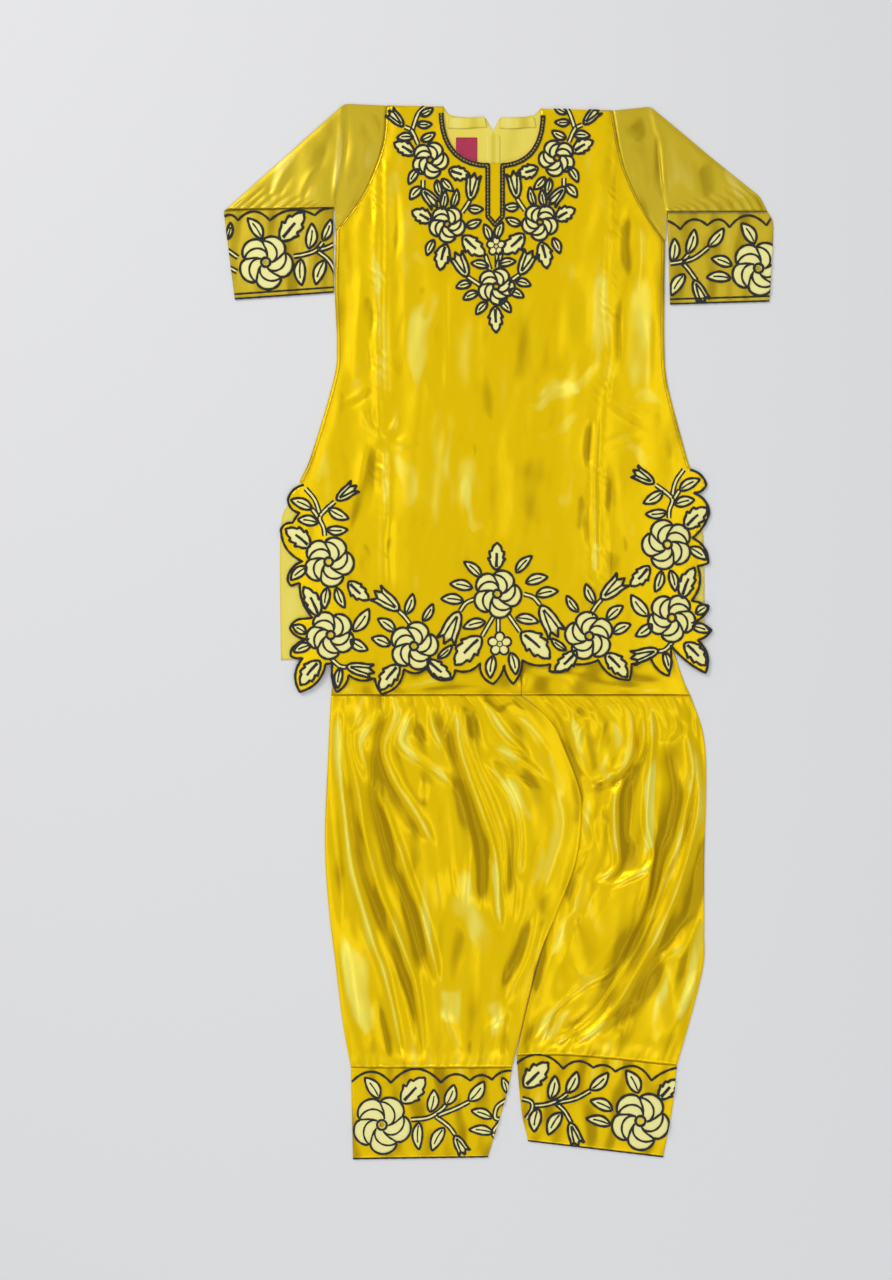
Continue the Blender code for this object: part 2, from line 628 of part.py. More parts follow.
def crease_points(outline):
    """Points along each fold and to both its sides, inside the outline, so that the panel's triangles follow it."""
    found = []
    for path, *_ in TUNIC_FOLDS:
        line = curve_through(path)
        length = np.linalg.norm(np.diff(line, axis=0), axis=1).sum()
        stations = spaced(line, max(2, int(length / SPACE_ALONG_CREASE)))
        run = np.gradient(stations, axis=0)
        side = np.stack([-run[:, 1], run[:, 0]], axis=1) / np.linalg.norm(run, axis=1)[:, None]
        found += [stations + side * off for off in (-SPACE_BESIDE_CREASE, 0.0, SPACE_BESIDE_CREASE)]
    found = np.concatenate(found)
    found = found[inside(found, outline)]
    edge_distance, _ = beside(found[:, 0], found[:, 1], np.vstack([outline, outline[:1]]))
    return thinned(found[np.abs(edge_distance) > CLEAR_OF_EDGE], CLEAR_OF_EDGE)


def make_tunic_panels():
    """The back panel, and the front panel on it."""
    front = front_outline()
    grid = staggered(front, PANEL_SPACING, PANEL_SPACING * 0.4)
    creases = crease_points(front)
    apart = np.linalg.norm(grid[:, None] - creases[None], axis=2).min(axis=1) > SPACE_BESIDE_CREASE
    sheet("kameez_front", front, np.concatenate([grid[apart], creases]), front_foot, front_top, SATIN)
    back = back_outline()
    close = staggered(back, PANEL_SPACING, PANEL_SPACING * 0.4)
    wide = staggered(back, 2 * PANEL_SPACING, PANEL_SPACING * 0.6)
    carried = close[close[:, 1] > CARRIED_FROM]
    resting = wide[wide[:, 1] <= CARRIED_FROM - PANEL_SPACING / 2]
    sheet("kameez_back", back, np.concatenate([carried, resting]), belt_lift, back_top, SATIN)


def thinned(points, apart):
    """The points without those that lie nearer than apart to one kept before them."""
    kept = []
    for point in points:
        if all(np.linalg.norm(point - other) > apart for other in kept):
            kept.append(point)
    return np.array(kept)


def braid_path():
    """The middle line of the neck braid: round the left of the neck, down and up the placket, round the right."""
    half = NECK_HALF_WIDTH + BRAID_INSET
    depth = NECK_DEPTH + BRAID_INSET
    turn = np.linspace(math.pi - 0.06, math.pi / 2, 13)
    from_centre = half * np.abs(np.cos(turn)) ** (2 / NECK_POWER)
    down = depth * np.sin(turn) ** (2 / NECK_POWER)
    sides = []
    for sign in (-1, 1):
        inner = PLACKET_CENTRE + sign * (PLACKET_HALF_WIDTH + 2)
        across = NECK_CENTRE + sign * from_centre
        sides.append([(a, d + shoulder_down(a)) for a, d in zip(across, down) if sign * (a - inner) > 0])
    half_way = (depth + PLACKET_FOOT) / 2
    left, right = PLACKET_CENTRE - PLACKET_HALF_WIDTH, PLACKET_CENTRE + PLACKET_HALF_WIDTH
    going_down = [(left, depth + 1), (left, half_way), (left, PLACKET_FOOT), (PLACKET_CENTRE, PLACKET_POINT)]
    going_up = [(right, PLACKET_FOOT), (right, half_way), (right, depth + 1)]
    return np.array(sides[0] + going_down + going_up + sides[1][::-1])


def ribbon(name, line, width, thickness, foot_of, kind):
    """A flat strip carried along a line: four corners at each point, mitred at the bends."""
    run = np.gradient(line, axis=0)
    before = np.vstack([run[:1], np.diff(line, axis=0)])
    after = np.vstack([np.diff(line, axis=0), run[-1:]])
    before /= np.linalg.norm(before, axis=1)[:, None]
    after /= np.linalg.norm(after, axis=1)[:, None]
    run = before + after
    run /= np.linalg.norm(run, axis=1)[:, None]
    side = np.stack([-run[:, 1], run[:, 0]], axis=1)
    mitre = 1 / np.maximum((run * after).sum(axis=1), 0.5)
    offset = side * (width / 2 * mitre)[:, None]
    left, right = line - offset, line + offset
    points = []
    for a, b in zip(left, right):
        foot_a, foot_b = float(foot_of(*a)), float(foot_of(*b))
        foot = max(foot_a, foot_b, float(foot_of(*((a + b) / 2))))
        points += [place(*a, foot), place(*b, foot), place(*b, foot + thickness), place(*a, foot + thickness)]
    faces = [(0, 1, 2, 3), tuple(len(points) - 4 + i for i in (3, 2, 1, 0))]
    for station in range(len(line) - 1):
        here, there = 4 * station, 4 * station + 4
        faces += [(here + i, here + (i + 1) % 4, there + (i + 1) % 4, there + i) for i in range(4)]
    return add_object(name, points, faces, kind)


def plate(name, outline, foot, thickness, kind):
    """A small flat piece of cloth over its outline."""
    return sheet(name, outline, [], lambda a, d: foot + 0 * a, lambda a, d: foot + thickness + 0 * a, kind)


def make_neck_trims():
    """The braid round the neck, and what shows on the inside of the back: facing, opening stand and label."""
    ribbon("neck_braid", braid_path(), BRAID_WIDTH, BRAID_HEIGHT,
           lambda a, d: front_top(np.array(a), np.array(d)) + LAYER_GAP, BRAID)
    on_back = WALL + LAYER_GAP
    top = BACK_NECK_DROP + 1.5
    for name, (near, far) in (("neck_facing_left", FACING_LEFT), ("neck_facing_right", FACING_RIGHT)):
        outline = [(near + 3, top), (far - 3, top), (far, top + FACING_DEPTH), (near, top + FACING_DEPTH)]
        plate(name, outline, on_back, TRIM_WALL, SATIN_REVERSE)
    stand_left = NOTCH_CENTRE - STAND_WIDTH / 2
    stand = [
        (NOTCH_CENTRE - 1.0, NOTCH_DROP + 2),
        (NOTCH_CENTRE + 1.0, NOTCH_DROP + 2),
        (stand_left + STAND_WIDTH, NOTCH_DROP + 8),
        (stand_left + STAND_WIDTH, STAND_FOOT),
        (stand_left, STAND_FOOT),
        (stand_left, NOTCH_DROP + 8),
    ]
    plate("back_opening_stand", stand, on_back, TRIM_WALL, SATIN_REVERSE)
    label = [
        (LABEL_LEFT, LABEL_TOP),
        (LABEL_LEFT + LABEL_WIDTH, LABEL_TOP),
        (LABEL_LEFT + LABEL_WIDTH, LABEL_TOP + LABEL_LENGTH),
        (LABEL_LEFT, LABEL_TOP + LABEL_LENGTH),
    ]
    plate("neck_label", label, on_back, TRIM_WALL, LABEL)


def make_sleeve(side, armhole_points, outer, under, cuff_edges):
    """A sleeve pressed flat from its armhole to the cuff seam, gathered there, and its cuff."""
    outwards = -SEAM_GAP if side == "left" else SEAM_GAP
    start = spaced(curve_through(armhole_points), SLEEVE_COLUMNS) + (outwards, 0.0)
    outer_line = np.array([start[0], *outer[1:]], float)
    under_line = np.array([start[-1], *under[1:]], float)
    end = np.array([outer[-1], under[-1]], float)
    fold_from, fold_to = np.array(outer[1]), np.array(under[-1])

    def sleeve_top(across, down, s, t, folded):
        height = np.full(np.shape(across), TWO_PLIES)
        if not folded:
            return height
        pressed = np.array([fold_from, fold_to])
        distance, _ = beside(across, down, pressed)
        outside = distance if side == "left" else -distance
        height = height + SLEEVE_PRESSED_RISE * smooth((outside + 4) / 8) * smooth((90 - outside) / 60)
        gathers = SLEEVE_GATHER_RISE * (1 + np.cos(math.pi * t * (SLEEVE_COLUMNS - 1)))
        return height + gathers * smooth((s - 0.8) / 0.2) * smooth(t / 0.1) * smooth((1 - t) / 0.1)

    flat_tube(f"sleeve_{side}", start, end, spaced(outer_line, 12), spaced(under_line, 12), sleeve_top,
              SLEEVE_ROWS, SLEEVE_COLUMNS, SATIN)
    left_edge, right_edge = (spaced(curve_through(edge), 6) for edge in cuff_edges)
    flat_tube(f"sleeve_cuff_{side}", np.array([left_edge[0], right_edge[0]]),
              np.array([left_edge[-1], right_edge[-1]]), left_edge, right_edge, plain_top,
              CUFF_ROWS, CUFF_COLUMNS, SATIN)


def plain_top(across, down, s, t, folded):
    """The upper side of a tube that lies smooth."""
    return np.full(np.shape(across), TWO_PLIES)


def belt_top(across, down, s, t, folded):
    """The belt is plain where the tunic covers it, and a little rumpled below the tunic's hem."""
    height = np.full(np.shape(across), TWO_PLIES)
    if not folded:
        return height
    shown = smooth((down - BELT_SHOWN_FROM) / 12) * smooth((BELT_FOOT - down) / 6)
    return height + BELT_RUMPLE * shown * (1 + np.sin(across / 31 + down / 7)) / 2


def leg_top(folds, raised_inner):
    """A leg's upper skin: lofted between its sides, pleated from the belt, gathered at the ankle."""
    def height(across, down, s, t, folded):
        loft = LEG_LOFT * smooth(t / 0.22) * smooth((1 - t) / 0.22) * smooth(s / 0.1) * smooth((1 - s) / 0.08)
        plain = TWO_PLIES + loft
        if not folded:
            return plain
        inner = t if raised_inner else 1 - t
        near_side = smooth(t / 0.05) * smooth((1 - t) / 0.05)
        pleats = fold_height(across, down, folds)
        gathers = GATHER_HEIGHT * (1 + np.cos(math.pi * t * (LEG_COLUMNS - 1))) / 2
        gathers = gathers * smooth(1 - (1 - s) * LEG_LENGTH / GATHER_REACH)
        crotch_fold = CROTCH_FOLD * smooth((inner - 0.8) / 0.12) * smooth(s / 0.1) * smooth((0.9 - s) / 0.2)
        return plain + near_side * (pleats + gathers + (crotch_fold if raised_inner else 0.0))

    return height


def make_trousers():
    """The belt, and each leg with its ankle cuff."""
    belt_left = spaced(curve_through(BELT_LEFT), 8)
    belt_right = spaced(curve_through(BELT_RIGHT), 8)
    flat_tube("salwar_belt", np.array([BELT_LEFT[0], BELT_RIGHT[0]], float),
              np.array([BELT_LEFT[-1], BELT_RIGHT[-1]], float), belt_left, belt_right, belt_top,
              BELT_ROWS, BELT_COLUMNS, SATIN)
    legs = (
        ("left", curve_through(LEG_OUTER_LEFT), curve_through(LEG_INNER_LEFT), ANKLE_SEAM_LEFT,
         ANKLE_SIDES_LEFT, LEFT_LEG_FOLDS),
        ("right", curve_through(LEG_INNER_RIGHT) + (2 * SEAM_GAP, 0), curve_through(LEG_OUTER_RIGHT),
         ANKLE_SEAM_RIGHT, ANKLE_SIDES_RIGHT, RIGHT_LEG_FOLDS),
    )
    for side, left, right, seam, cuff_sides, folds in legs:
        start = np.array([left[0], right[0]])
        seam_line = curve_through(seam)
        end = spaced(np.vstack([left[-1:], seam_line[1:-1], right[-1:]]), SEAM_POINTS)
        flat_tube(f"leg_{side}", start, end, spaced(left, LEG_ROWS), spaced(right, LEG_ROWS),
                  leg_top(folds, side == "left"), LEG_ROWS, LEG_COLUMNS, SATIN)
        cuff_start = end + (0.0, SEAM_GAP)
        corners = (cuff_start[0], cuff_start[-1])
        left_edge, right_edge = (
            spaced(curve_through((tuple(corner), *edge)), 6) for corner, edge in zip(corners, cuff_sides)
        )
        flat_tube(f"ankle_cuff_{side}", cuff_start, np.array([left_edge[-1], right_edge[-1]]),
                  left_edge, right_edge, plain_top, CUFF_ROWS - 1, LEG_COLUMNS, SATIN)


def flower(name, across, down, radius, turn, foot_of):
    """A raised embroidered flower: a plate with a lobe for each petal, laid on the cloth's own surface."""
    around = np.linspace(0, 2 * math.pi, PETALS * 4, endpoint=False)
    reach = radius * (0.84 + 0.16 * np.abs(np.cos(PETALS / 2 * around)))
    facing = around + math.radians(turn)
    outline = [(across + r * math.cos(f), down + r * math.sin(f)) for r, f in zip(reach, facing)]
    sheet(name, outline, [(across, down)], foot_of, lambda a, d: foot_of(a, d) + FLOWER_WALL, THREAD)


def make_flowers():
    """The flowers on the front and on the four cuffs."""
    def on_front(across, down):
        return front_top(across, down) + FLOWER_LIFT

    def on_cuff(across, down):
        return TWO_PLIES + LAYER_GAP + 0 * across

    for rows, foot_of in ((FRONT_FLOWERS, on_front), (CUFF_FLOWERS, on_cuff)):
        for name, across, down, radius, turn in rows:
            flower(name, across, down, radius, turn, foot_of)


def main():
    """Clear the scene and build every piece."""
    for old in list(bpy.data.objects):
        bpy.data.objects.remove(old)
    make_tunic_panels()
    make_neck_trims()
    make_sleeve("left", ARMHOLE_LEFT, SLEEVE_OUTER_LEFT, SLEEVE_UNDER_LEFT, CUFF_LEFT_EDGES)
    make_sleeve("right", ARMHOLE_RIGHT, SLEEVE_OUTER_RIGHT, SLEEVE_UNDER_RIGHT, CUFF_RIGHT_EDGES)
    make_trousers()
    make_flowers()


main()
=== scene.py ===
"""A salwar kameez suit laid flat, dressed for the render: satin tunic and trousers with cord embroidery.

Every piece is worked out on a lay plan in millimetres: across is measured from the tunic's centre front, + to the
right as seen from above, and down from its shoulder line towards the ankle hems. Heights are above the floor.
Creases and embroidery are charted in steps of 1.5 mm, as a maker's chart is, and from_chart turns a chart
into the lay plan. Left and right are as seen from above.
"""

import math

import bmesh
import bpy
import numpy as np
from mathutils.geometry import delaunay_2d_cdt
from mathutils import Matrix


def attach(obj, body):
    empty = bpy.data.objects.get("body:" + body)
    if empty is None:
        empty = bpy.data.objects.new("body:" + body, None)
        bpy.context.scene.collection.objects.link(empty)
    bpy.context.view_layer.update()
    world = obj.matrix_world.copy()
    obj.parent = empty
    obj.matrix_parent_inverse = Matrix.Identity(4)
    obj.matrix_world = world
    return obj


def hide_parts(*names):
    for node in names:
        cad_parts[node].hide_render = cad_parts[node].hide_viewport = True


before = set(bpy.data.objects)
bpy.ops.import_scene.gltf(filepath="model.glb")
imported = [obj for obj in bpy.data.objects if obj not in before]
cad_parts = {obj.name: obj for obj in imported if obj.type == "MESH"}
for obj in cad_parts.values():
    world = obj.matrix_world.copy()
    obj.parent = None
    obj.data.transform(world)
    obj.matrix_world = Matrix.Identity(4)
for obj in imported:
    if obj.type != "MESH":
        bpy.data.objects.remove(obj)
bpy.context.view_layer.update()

bl_info = {
    "name": "Salwar kameez suit",
    "version": (1, 0, 0),
    "blender": (4, 5, 0),
    "location": "3D View > Sidebar > Suit",
    "description": "Builds a satin salwar kameez suit laid flat, with its folds and cord embroidery",
    "category": "Add Mesh",
}

MM = 0.001
LAY_MIDDLE = (3.75, 786.0)
CHART_STEP = 1.5
CHART_ORIGIN = (496.0, 107.0)
# Points that lie nearer than this, in metres, are one point.
WELD = 1e-6

# How the cloth is stacked, in millimetres. A tube's sides roll over a fold radius, and its wall is a little thinner
# than a panel's ply.
PLY = 1.2
FOLD_RADIUS = 1.6
TUBE_WALL = 0.8
LAYER_GAP = 0.3
TWO_PLIES = 2 * PLY + LAYER_GAP
SEAM_GAP = 0.5
UNDERSIDE = 0.05

# Tunic cut, in millimetres of the lay plan.
NECK_CENTRE = -6.0
NECK_HALF_WIDTH = 72.5
NECK_DEPTH = 84.0
NECK_POWER = 2.6
BACK_NECK_DROP = 15.0
NOTCH_CENTRE = -4.5
NOTCH_HALF_WIDTH = 10.5
NOTCH_DROP = 37.0
SHOULDER_LEFT = (-163.5, -1.5)
SHOULDER_RIGHT = (174.0, 6.0)
ARMHOLE_LEFT = (SHOULDER_LEFT, (-169.5, 55.5), (-187.5, 108.0), (-210.0, 148.5), (-239.5, 186.0))
ARMHOLE_RIGHT = (SHOULDER_RIGHT, (186.0, 70.5), (198.0, 108.0), (220.0, 154.0), (253.0, 202.0))
SIDE_LEFT = ((-239.5, 186.0), (-241.5, 273.0), (-238.5, 355.0), (-243.0, 408.0), (-276.0, 520.0), (-294.0, 562.0))
SIDE_RIGHT = ((253.0, 202.0), (252.0, 288.0), (252.0, 355.0), (256.5, 415.0), (282.0, 513.0), (291.0, 543.0))
BACK_SLIT_LEFT = ((-294.0, 562.0), (-309.0, 592.0), (-321.0, 618.0), (-324.0, 678.0), (-322.5, 829.5))
BACK_SLIT_RIGHT = ((291.0, 543.0), (301.5, 573.0), (307.5, 603.0), (312.0, 678.0), (312.0, 800.0))

# The cutwork edge: each row is a point of the edge and how far the stretch that ends there swells outwards.
CUTWORK_LEFT = (
    (-288.0, 567.0, 0.0), (-312.0, 589.5, 5.0), (-294.0, 609.0, 5.0), (-304.5, 624.0, 1.0), (-322.5, 634.5, 4.0),
    (-289.5, 682.0, 9.0), (-309.0, 697.5, 3.0), (-307.5, 718.5, 4.0), (-294.0, 714.0, 0.0), (-274.5, 766.5, 6.0),
    (-294.0, 768.0, 0.0), (-309.0, 783.0, 3.0), (-279.0, 798.0, 5.0), (-300.0, 807.0, 2.0), (-307.5, 823.5, 3.0),
    (-289.5, 826.5, 2.0), (-294.0, 877.5, 9.0), (-255.0, 835.5, 9.0), (-244.5, 834.0, 0.0), (-238.5, 877.5, 4.0),
    (-220.5, 852.0, 4.0), (-181.5, 856.5, 6.0), (-171.0, 880.5, 2.0), (-138.0, 843.0, 9.0), (-103.5, 841.5, 7.0),
    (-66.0, 858.0, 9.0), (-61.5, 844.5, 1.0), (-24.0, 834.0, 7.0), (-4.5, 865.5, 7.0), (12.0, 837.0, 3.0),
)
CUTWORK_RIGHT = (
    (291.0, 544.5, 0.0), (315.0, 567.0, 5.0), (295.5, 579.0, 4.0), (319.5, 609.0, 6.0), (294.0, 646.5, 4.0),
    (318.0, 684.0, 7.0), (301.5, 688.5, 1.0), (292.5, 741.0, 8.0), (318.0, 753.0, 3.0), (291.0, 774.0, 4.0),
    (322.5, 784.5, 4.0), (301.5, 799.5, 3.0), (313.5, 849.0, 9.0), (261.0, 807.0, 4.0), (258.0, 853.5, 2.0),
    (231.0, 825.0, 5.0), (202.5, 835.5, 2.0), (199.5, 859.5, 1.0), (153.0, 829.5, 9.0), (115.5, 835.5, 3.0),
    (79.5, 846.0, 6.0), (81.0, 835.5, 0.0), (39.0, 829.5, 5.0), (25.5, 865.5, 4.0), (12.0, 837.0, 3.0),
)
SWELL_STEPS = 8
FRONT_REST = 0.7
PANEL_SPACING = 3.3
BACK_SPACING = 7.0

# Neck trims.
BRAID_INSET = 4.0
PLACKET_HALF_WIDTH = 11.0
PLACKET_CENTRE = -1.5
PLACKET_FOOT = 165.0
PLACKET_POINT = 178.0
BEAD_PITCH = 5.0
BEAD_LENGTH = 3.4
FACING_DEPTH = 16.0
FACING_LEFT = (-72.0, -14.0)
FACING_RIGHT = (5.0, 60.0)
STAND_WIDTH = 21.0
STAND_FOOT = 112.0
LABEL_AT = (-60.0, 46.5)
LABEL_SIZE = (31.5, 44.0)

# Sleeves and their cuffs.
SLEEVE_OUTER_LEFT = (SHOULDER_LEFT, (-226.5, -4.5), (-316.0, 75.0), (-406.0, 155.0))
SLEEVE_UNDER_LEFT = (-242.0, 151.5)
SLEEVE_OUTER_RIGHT = (SHOULDER_RIGHT, (231.0, 0.0), (320.0, 74.0), (396.0, 135.0), (407.0, 157.5))
SLEEVE_UNDER_RIGHT = (256.0, 157.5)
CUFF_LEFT_EDGES = (((-408.0, 156.0), (-402.0, 205.0), (-391.5, 288.0)), ((-244.0, 152.5), (-243.5, 277.5)))
CUFF_RIGHT_EDGES = (((257.0, 159.0), (261.0, 295.5)), ((408.0, 159.0), (415.5, 182.0), (409.5, 291.0)))

# Trousers.
BELT_TOP = 648.0
BELT_FOOT = 882.0
BELT_LEFT = ((-212.0, BELT_TOP), (-240.0, 830.0), (-247.0, BELT_FOOT))
BELT_RIGHT = ((216.0, BELT_TOP), (274.0, 840.0), (291.0, BELT_FOOT))
BELT_SLOPE = 85.0
LEG_TOP = BELT_FOOT + SEAM_GAP
LEG_OUTER_LEFT = (
    (-247.5, LEG_TOP), (-252.0, 978.0), (-256.5, 1098.0), (-252.0, 1188.0), (-241.5, 1278.0),
    (-229.5, 1375.0), (-217.5, 1440.0),
)
LEG_INNER = (
    (38.0, LEG_TOP), (73.5, 915.0), (96.0, 963.0), (118.5, 1023.0), (121.5, 1060.0), (114.0, 1128.0),
    (93.0, 1195.0), (66.0, 1270.0), (48.0, 1338.0), (36.0, 1390.0),
)
LEG_INNER_LEFT = (*LEG_INNER, (24.0, 1440.0))
LEG_INNER_RIGHT = (*LEG_INNER, (30.0, 1422.0))
LEG_OUTER_RIGHT = (
    (291.5, LEG_TOP), (310.5, 940.0), (315.0, 1010.0), (312.0, 1128.0), (312.0, 1233.0),
    (310.5, 1288.0), (291.0, 1368.0), (271.0, 1437.0),
)
ANKLE_SEAM_LEFT = ((-217.5, 1440.0), (24.0, 1440.0))
ANKLE_SEAM_RIGHT = ((30.0, 1422.0), (100.0, 1421.0), (180.0, 1427.0), (271.0, 1437.0))
ANKLE_SIDES_LEFT = (((-214.5, 1576.5),), ((16.0, 1480.0), (-12.0, 1573.5)))
ANKLE_SIDES_RIGHT = (((38.0, 1503.0), (48.0, 1549.5)), ((264.0, 1503.0), (250.5, 1573.5)))
LEG_LOFT = 5.0
GATHER_REACH = 46.0
PLEAT_REACH = 95.0
LEG_LENGTH = 540.0
GATHERS_PER_SLEEVE = 13
# The tubes' grids: steps down the tube, and points across its upper side.
SLEEVE_GRID = (62, 84)
CUFF_GRID = (40, 50)
BELT_GRID = (70, 150)
LEG_GRID = (160, 112)
ANKLE_GRID = (42, 76)

# Creases, charted. Each row says in millimetres how high a crease stands, or how deep it dips when
# negative, and how wide it is on its left and on its right as it runs. Then come the points of its path, across
# and down in chart steps.
TUNIC_CREASES = (
    (1.8, 9, 6, 378, 146, 378, 300, 380, 420, 383, 600), (-1.4, 4, 5, 371, 190, 371, 212, 373, 230),
    (-1.6, 5, 6, 396, 182, 397, 230, 394, 266), (1.2, 5, 6, 386, 150, 387, 230, 386, 330, 388, 410),
    (1.0, 9, 12, 404, 170, 406, 260, 404, 360), (-1.6, 4, 5, 373, 298, 373, 322, 371, 342),
    (-1.5, 4, 5, 367, 338, 370, 356, 372, 378), (1.0, 9, 9, 362, 260, 358, 330, 354, 390),
    (-1.3, 3, 4, 338, 412, 356, 404, 376, 391), (1.3, 6, 5, 338, 404, 356, 396, 374, 384),
    (1.6, 4, 5, 380, 434, 368, 424, 361, 408), (-1.4, 4, 4, 380, 434, 372, 418, 374, 400),
    (1.4, 4, 5, 382, 434, 393, 428, 399, 412), (-1.3, 4, 4, 382, 436, 395, 438, 408, 432),
    (1.2, 6, 6, 382, 440, 398, 448, 420, 452), (-2.4, 9, 8, 380, 438, 374, 468, 372, 500, 356, 530),
    (2.0, 4, 5, 386, 440, 384, 470, 383, 510, 380, 590), (1.2, 8, 6, 366, 440, 360, 480, 352, 510),
    (-1.3, 6, 6, 392, 512, 388, 550, 392, 600), (-1.8, 6, 7, 371, 545, 368, 575, 366, 600),
    (1.0, 22, 18, 420, 300, 424, 370, 414, 440, 410, 520), (0.5, 3, 2, 446, 268, 447, 330, 446, 404),
    (1.1, 14, 12, 446, 420, 442, 470, 430, 540), (0.9, 10, 8, 472, 440, 472, 470, 464, 500, 470, 530),
    (-0.9, 3, 4, 473, 446, 474, 452, 472, 462), (1.8, 5, 7, 610, 215, 606, 300, 609, 350, 603, 398),
    (-2.4, 7, 8, 628, 202, 626, 245, 629, 284), (1.2, 6, 9, 638, 212, 640, 255, 636, 300),
    (-1.8, 4, 5, 618, 296, 619, 340, 619, 374), (-1.3, 4, 4, 612, 372, 612, 394, 606, 408),
    (1.1, 16, 14, 640, 300, 648, 350, 646, 400), (2.0, 5, 4, 598, 412, 596, 440, 594, 500, 596, 590),
    (-2.1, 6, 7, 591, 412, 588, 445, 588, 476), (-1.5, 5, 5, 588, 498, 587, 530, 592, 560),
    (-2.2, 6, 6, 606, 456, 607, 490, 606, 526), (1.1, 5, 6, 614, 470, 616, 510, 622, 550),
    (-1.6, 5, 6, 614, 532, 612, 560, 608, 585), (-1.5, 3, 4, 600, 406, 622, 418, 648, 434),
    (1.4, 5, 4, 602, 400, 624, 410, 652, 424), (-1.3, 3, 3, 600, 450, 620, 444, 646, 440),
    (1.2, 5, 4, 600, 443, 620, 437, 646, 432), (1.4, 14, 22, 520, 404, 552, 388, 590, 368, 604, 352),
    (-0.8, 14, 12, 508, 392, 540, 380, 580, 352), (1.0, 26, 20, 480, 300, 470, 350, 476, 396),
    (1.0, 20, 14, 560, 250, 584, 300, 586, 350), (-0.7, 20, 16, 500, 430, 512, 460, 540, 478),
    (-0.7, 10, 10, 420, 330, 426, 380, 440, 410), (-0.7, 9, 9, 345, 250, 344, 330, 342, 380),
    (-0.7, 9, 9, 654, 250, 656, 330, 652, 396),
)
# The sleeves' creases fan from the shoulder and the gathered seam.
SLEEVE_LEFT_CREASES = (
    (-1.3, 3, 3, 344, 223, 360, 208, 370, 188, 376, 162), (-1.0, 4, 4, 372, 112, 380, 122, 378, 138),
    (1.6, 4, 3, 344, 108, 342, 150, 338, 175, 332, 206), (-1.0, 4, 4, 347, 110, 346, 150, 342, 178),
    (-0.9, 8, 8, 328, 130, 326, 150, 318, 175), (0.9, 6, 6, 300, 150, 285, 172, 268, 200),
    (1.1, 6, 6, 322, 160, 306, 182, 298, 204), (-0.9, 4, 5, 296, 172, 284, 188, 276, 206),
    (-1.0, 4, 4, 274, 178, 270, 192, 272, 206), (-0.8, 4, 4, 312, 182, 306, 194, 302, 206),
    (-0.8, 7, 7, 362, 120, 368, 132, 376, 150), (0.8, 8, 8, 345, 190, 352, 160, 356, 130),
    (0.8, 3, 3, 334, 214, 342, 218, 350, 214),
)
SLEEVE_RIGHT_CREASES = (
    (-1.3, 3, 3, 657, 226, 642, 208, 632, 188, 625, 162), (1.6, 3, 4, 655, 118, 661, 150, 663, 180, 667, 210),
    (-1.6, 4, 4, 655, 122, 658, 150, 661, 190), (-1.6, 5, 5, 620, 112, 626, 130, 642, 144),
    (1.0, 5, 5, 618, 124, 630, 138, 646, 150), (-0.9, 9, 9, 688, 152, 700, 172, 706, 204),
    (0.9, 8, 8, 676, 150, 684, 175, 688, 204), (0.8, 6, 6, 716, 168, 722, 186, 724, 206),
    (-0.8, 3, 3, 745, 198, 734, 201, 729, 210), (-0.9, 5, 5, 736, 180, 752, 196, 764, 212),
    (0.8, 6, 6, 626, 150, 634, 180, 646, 206),
)
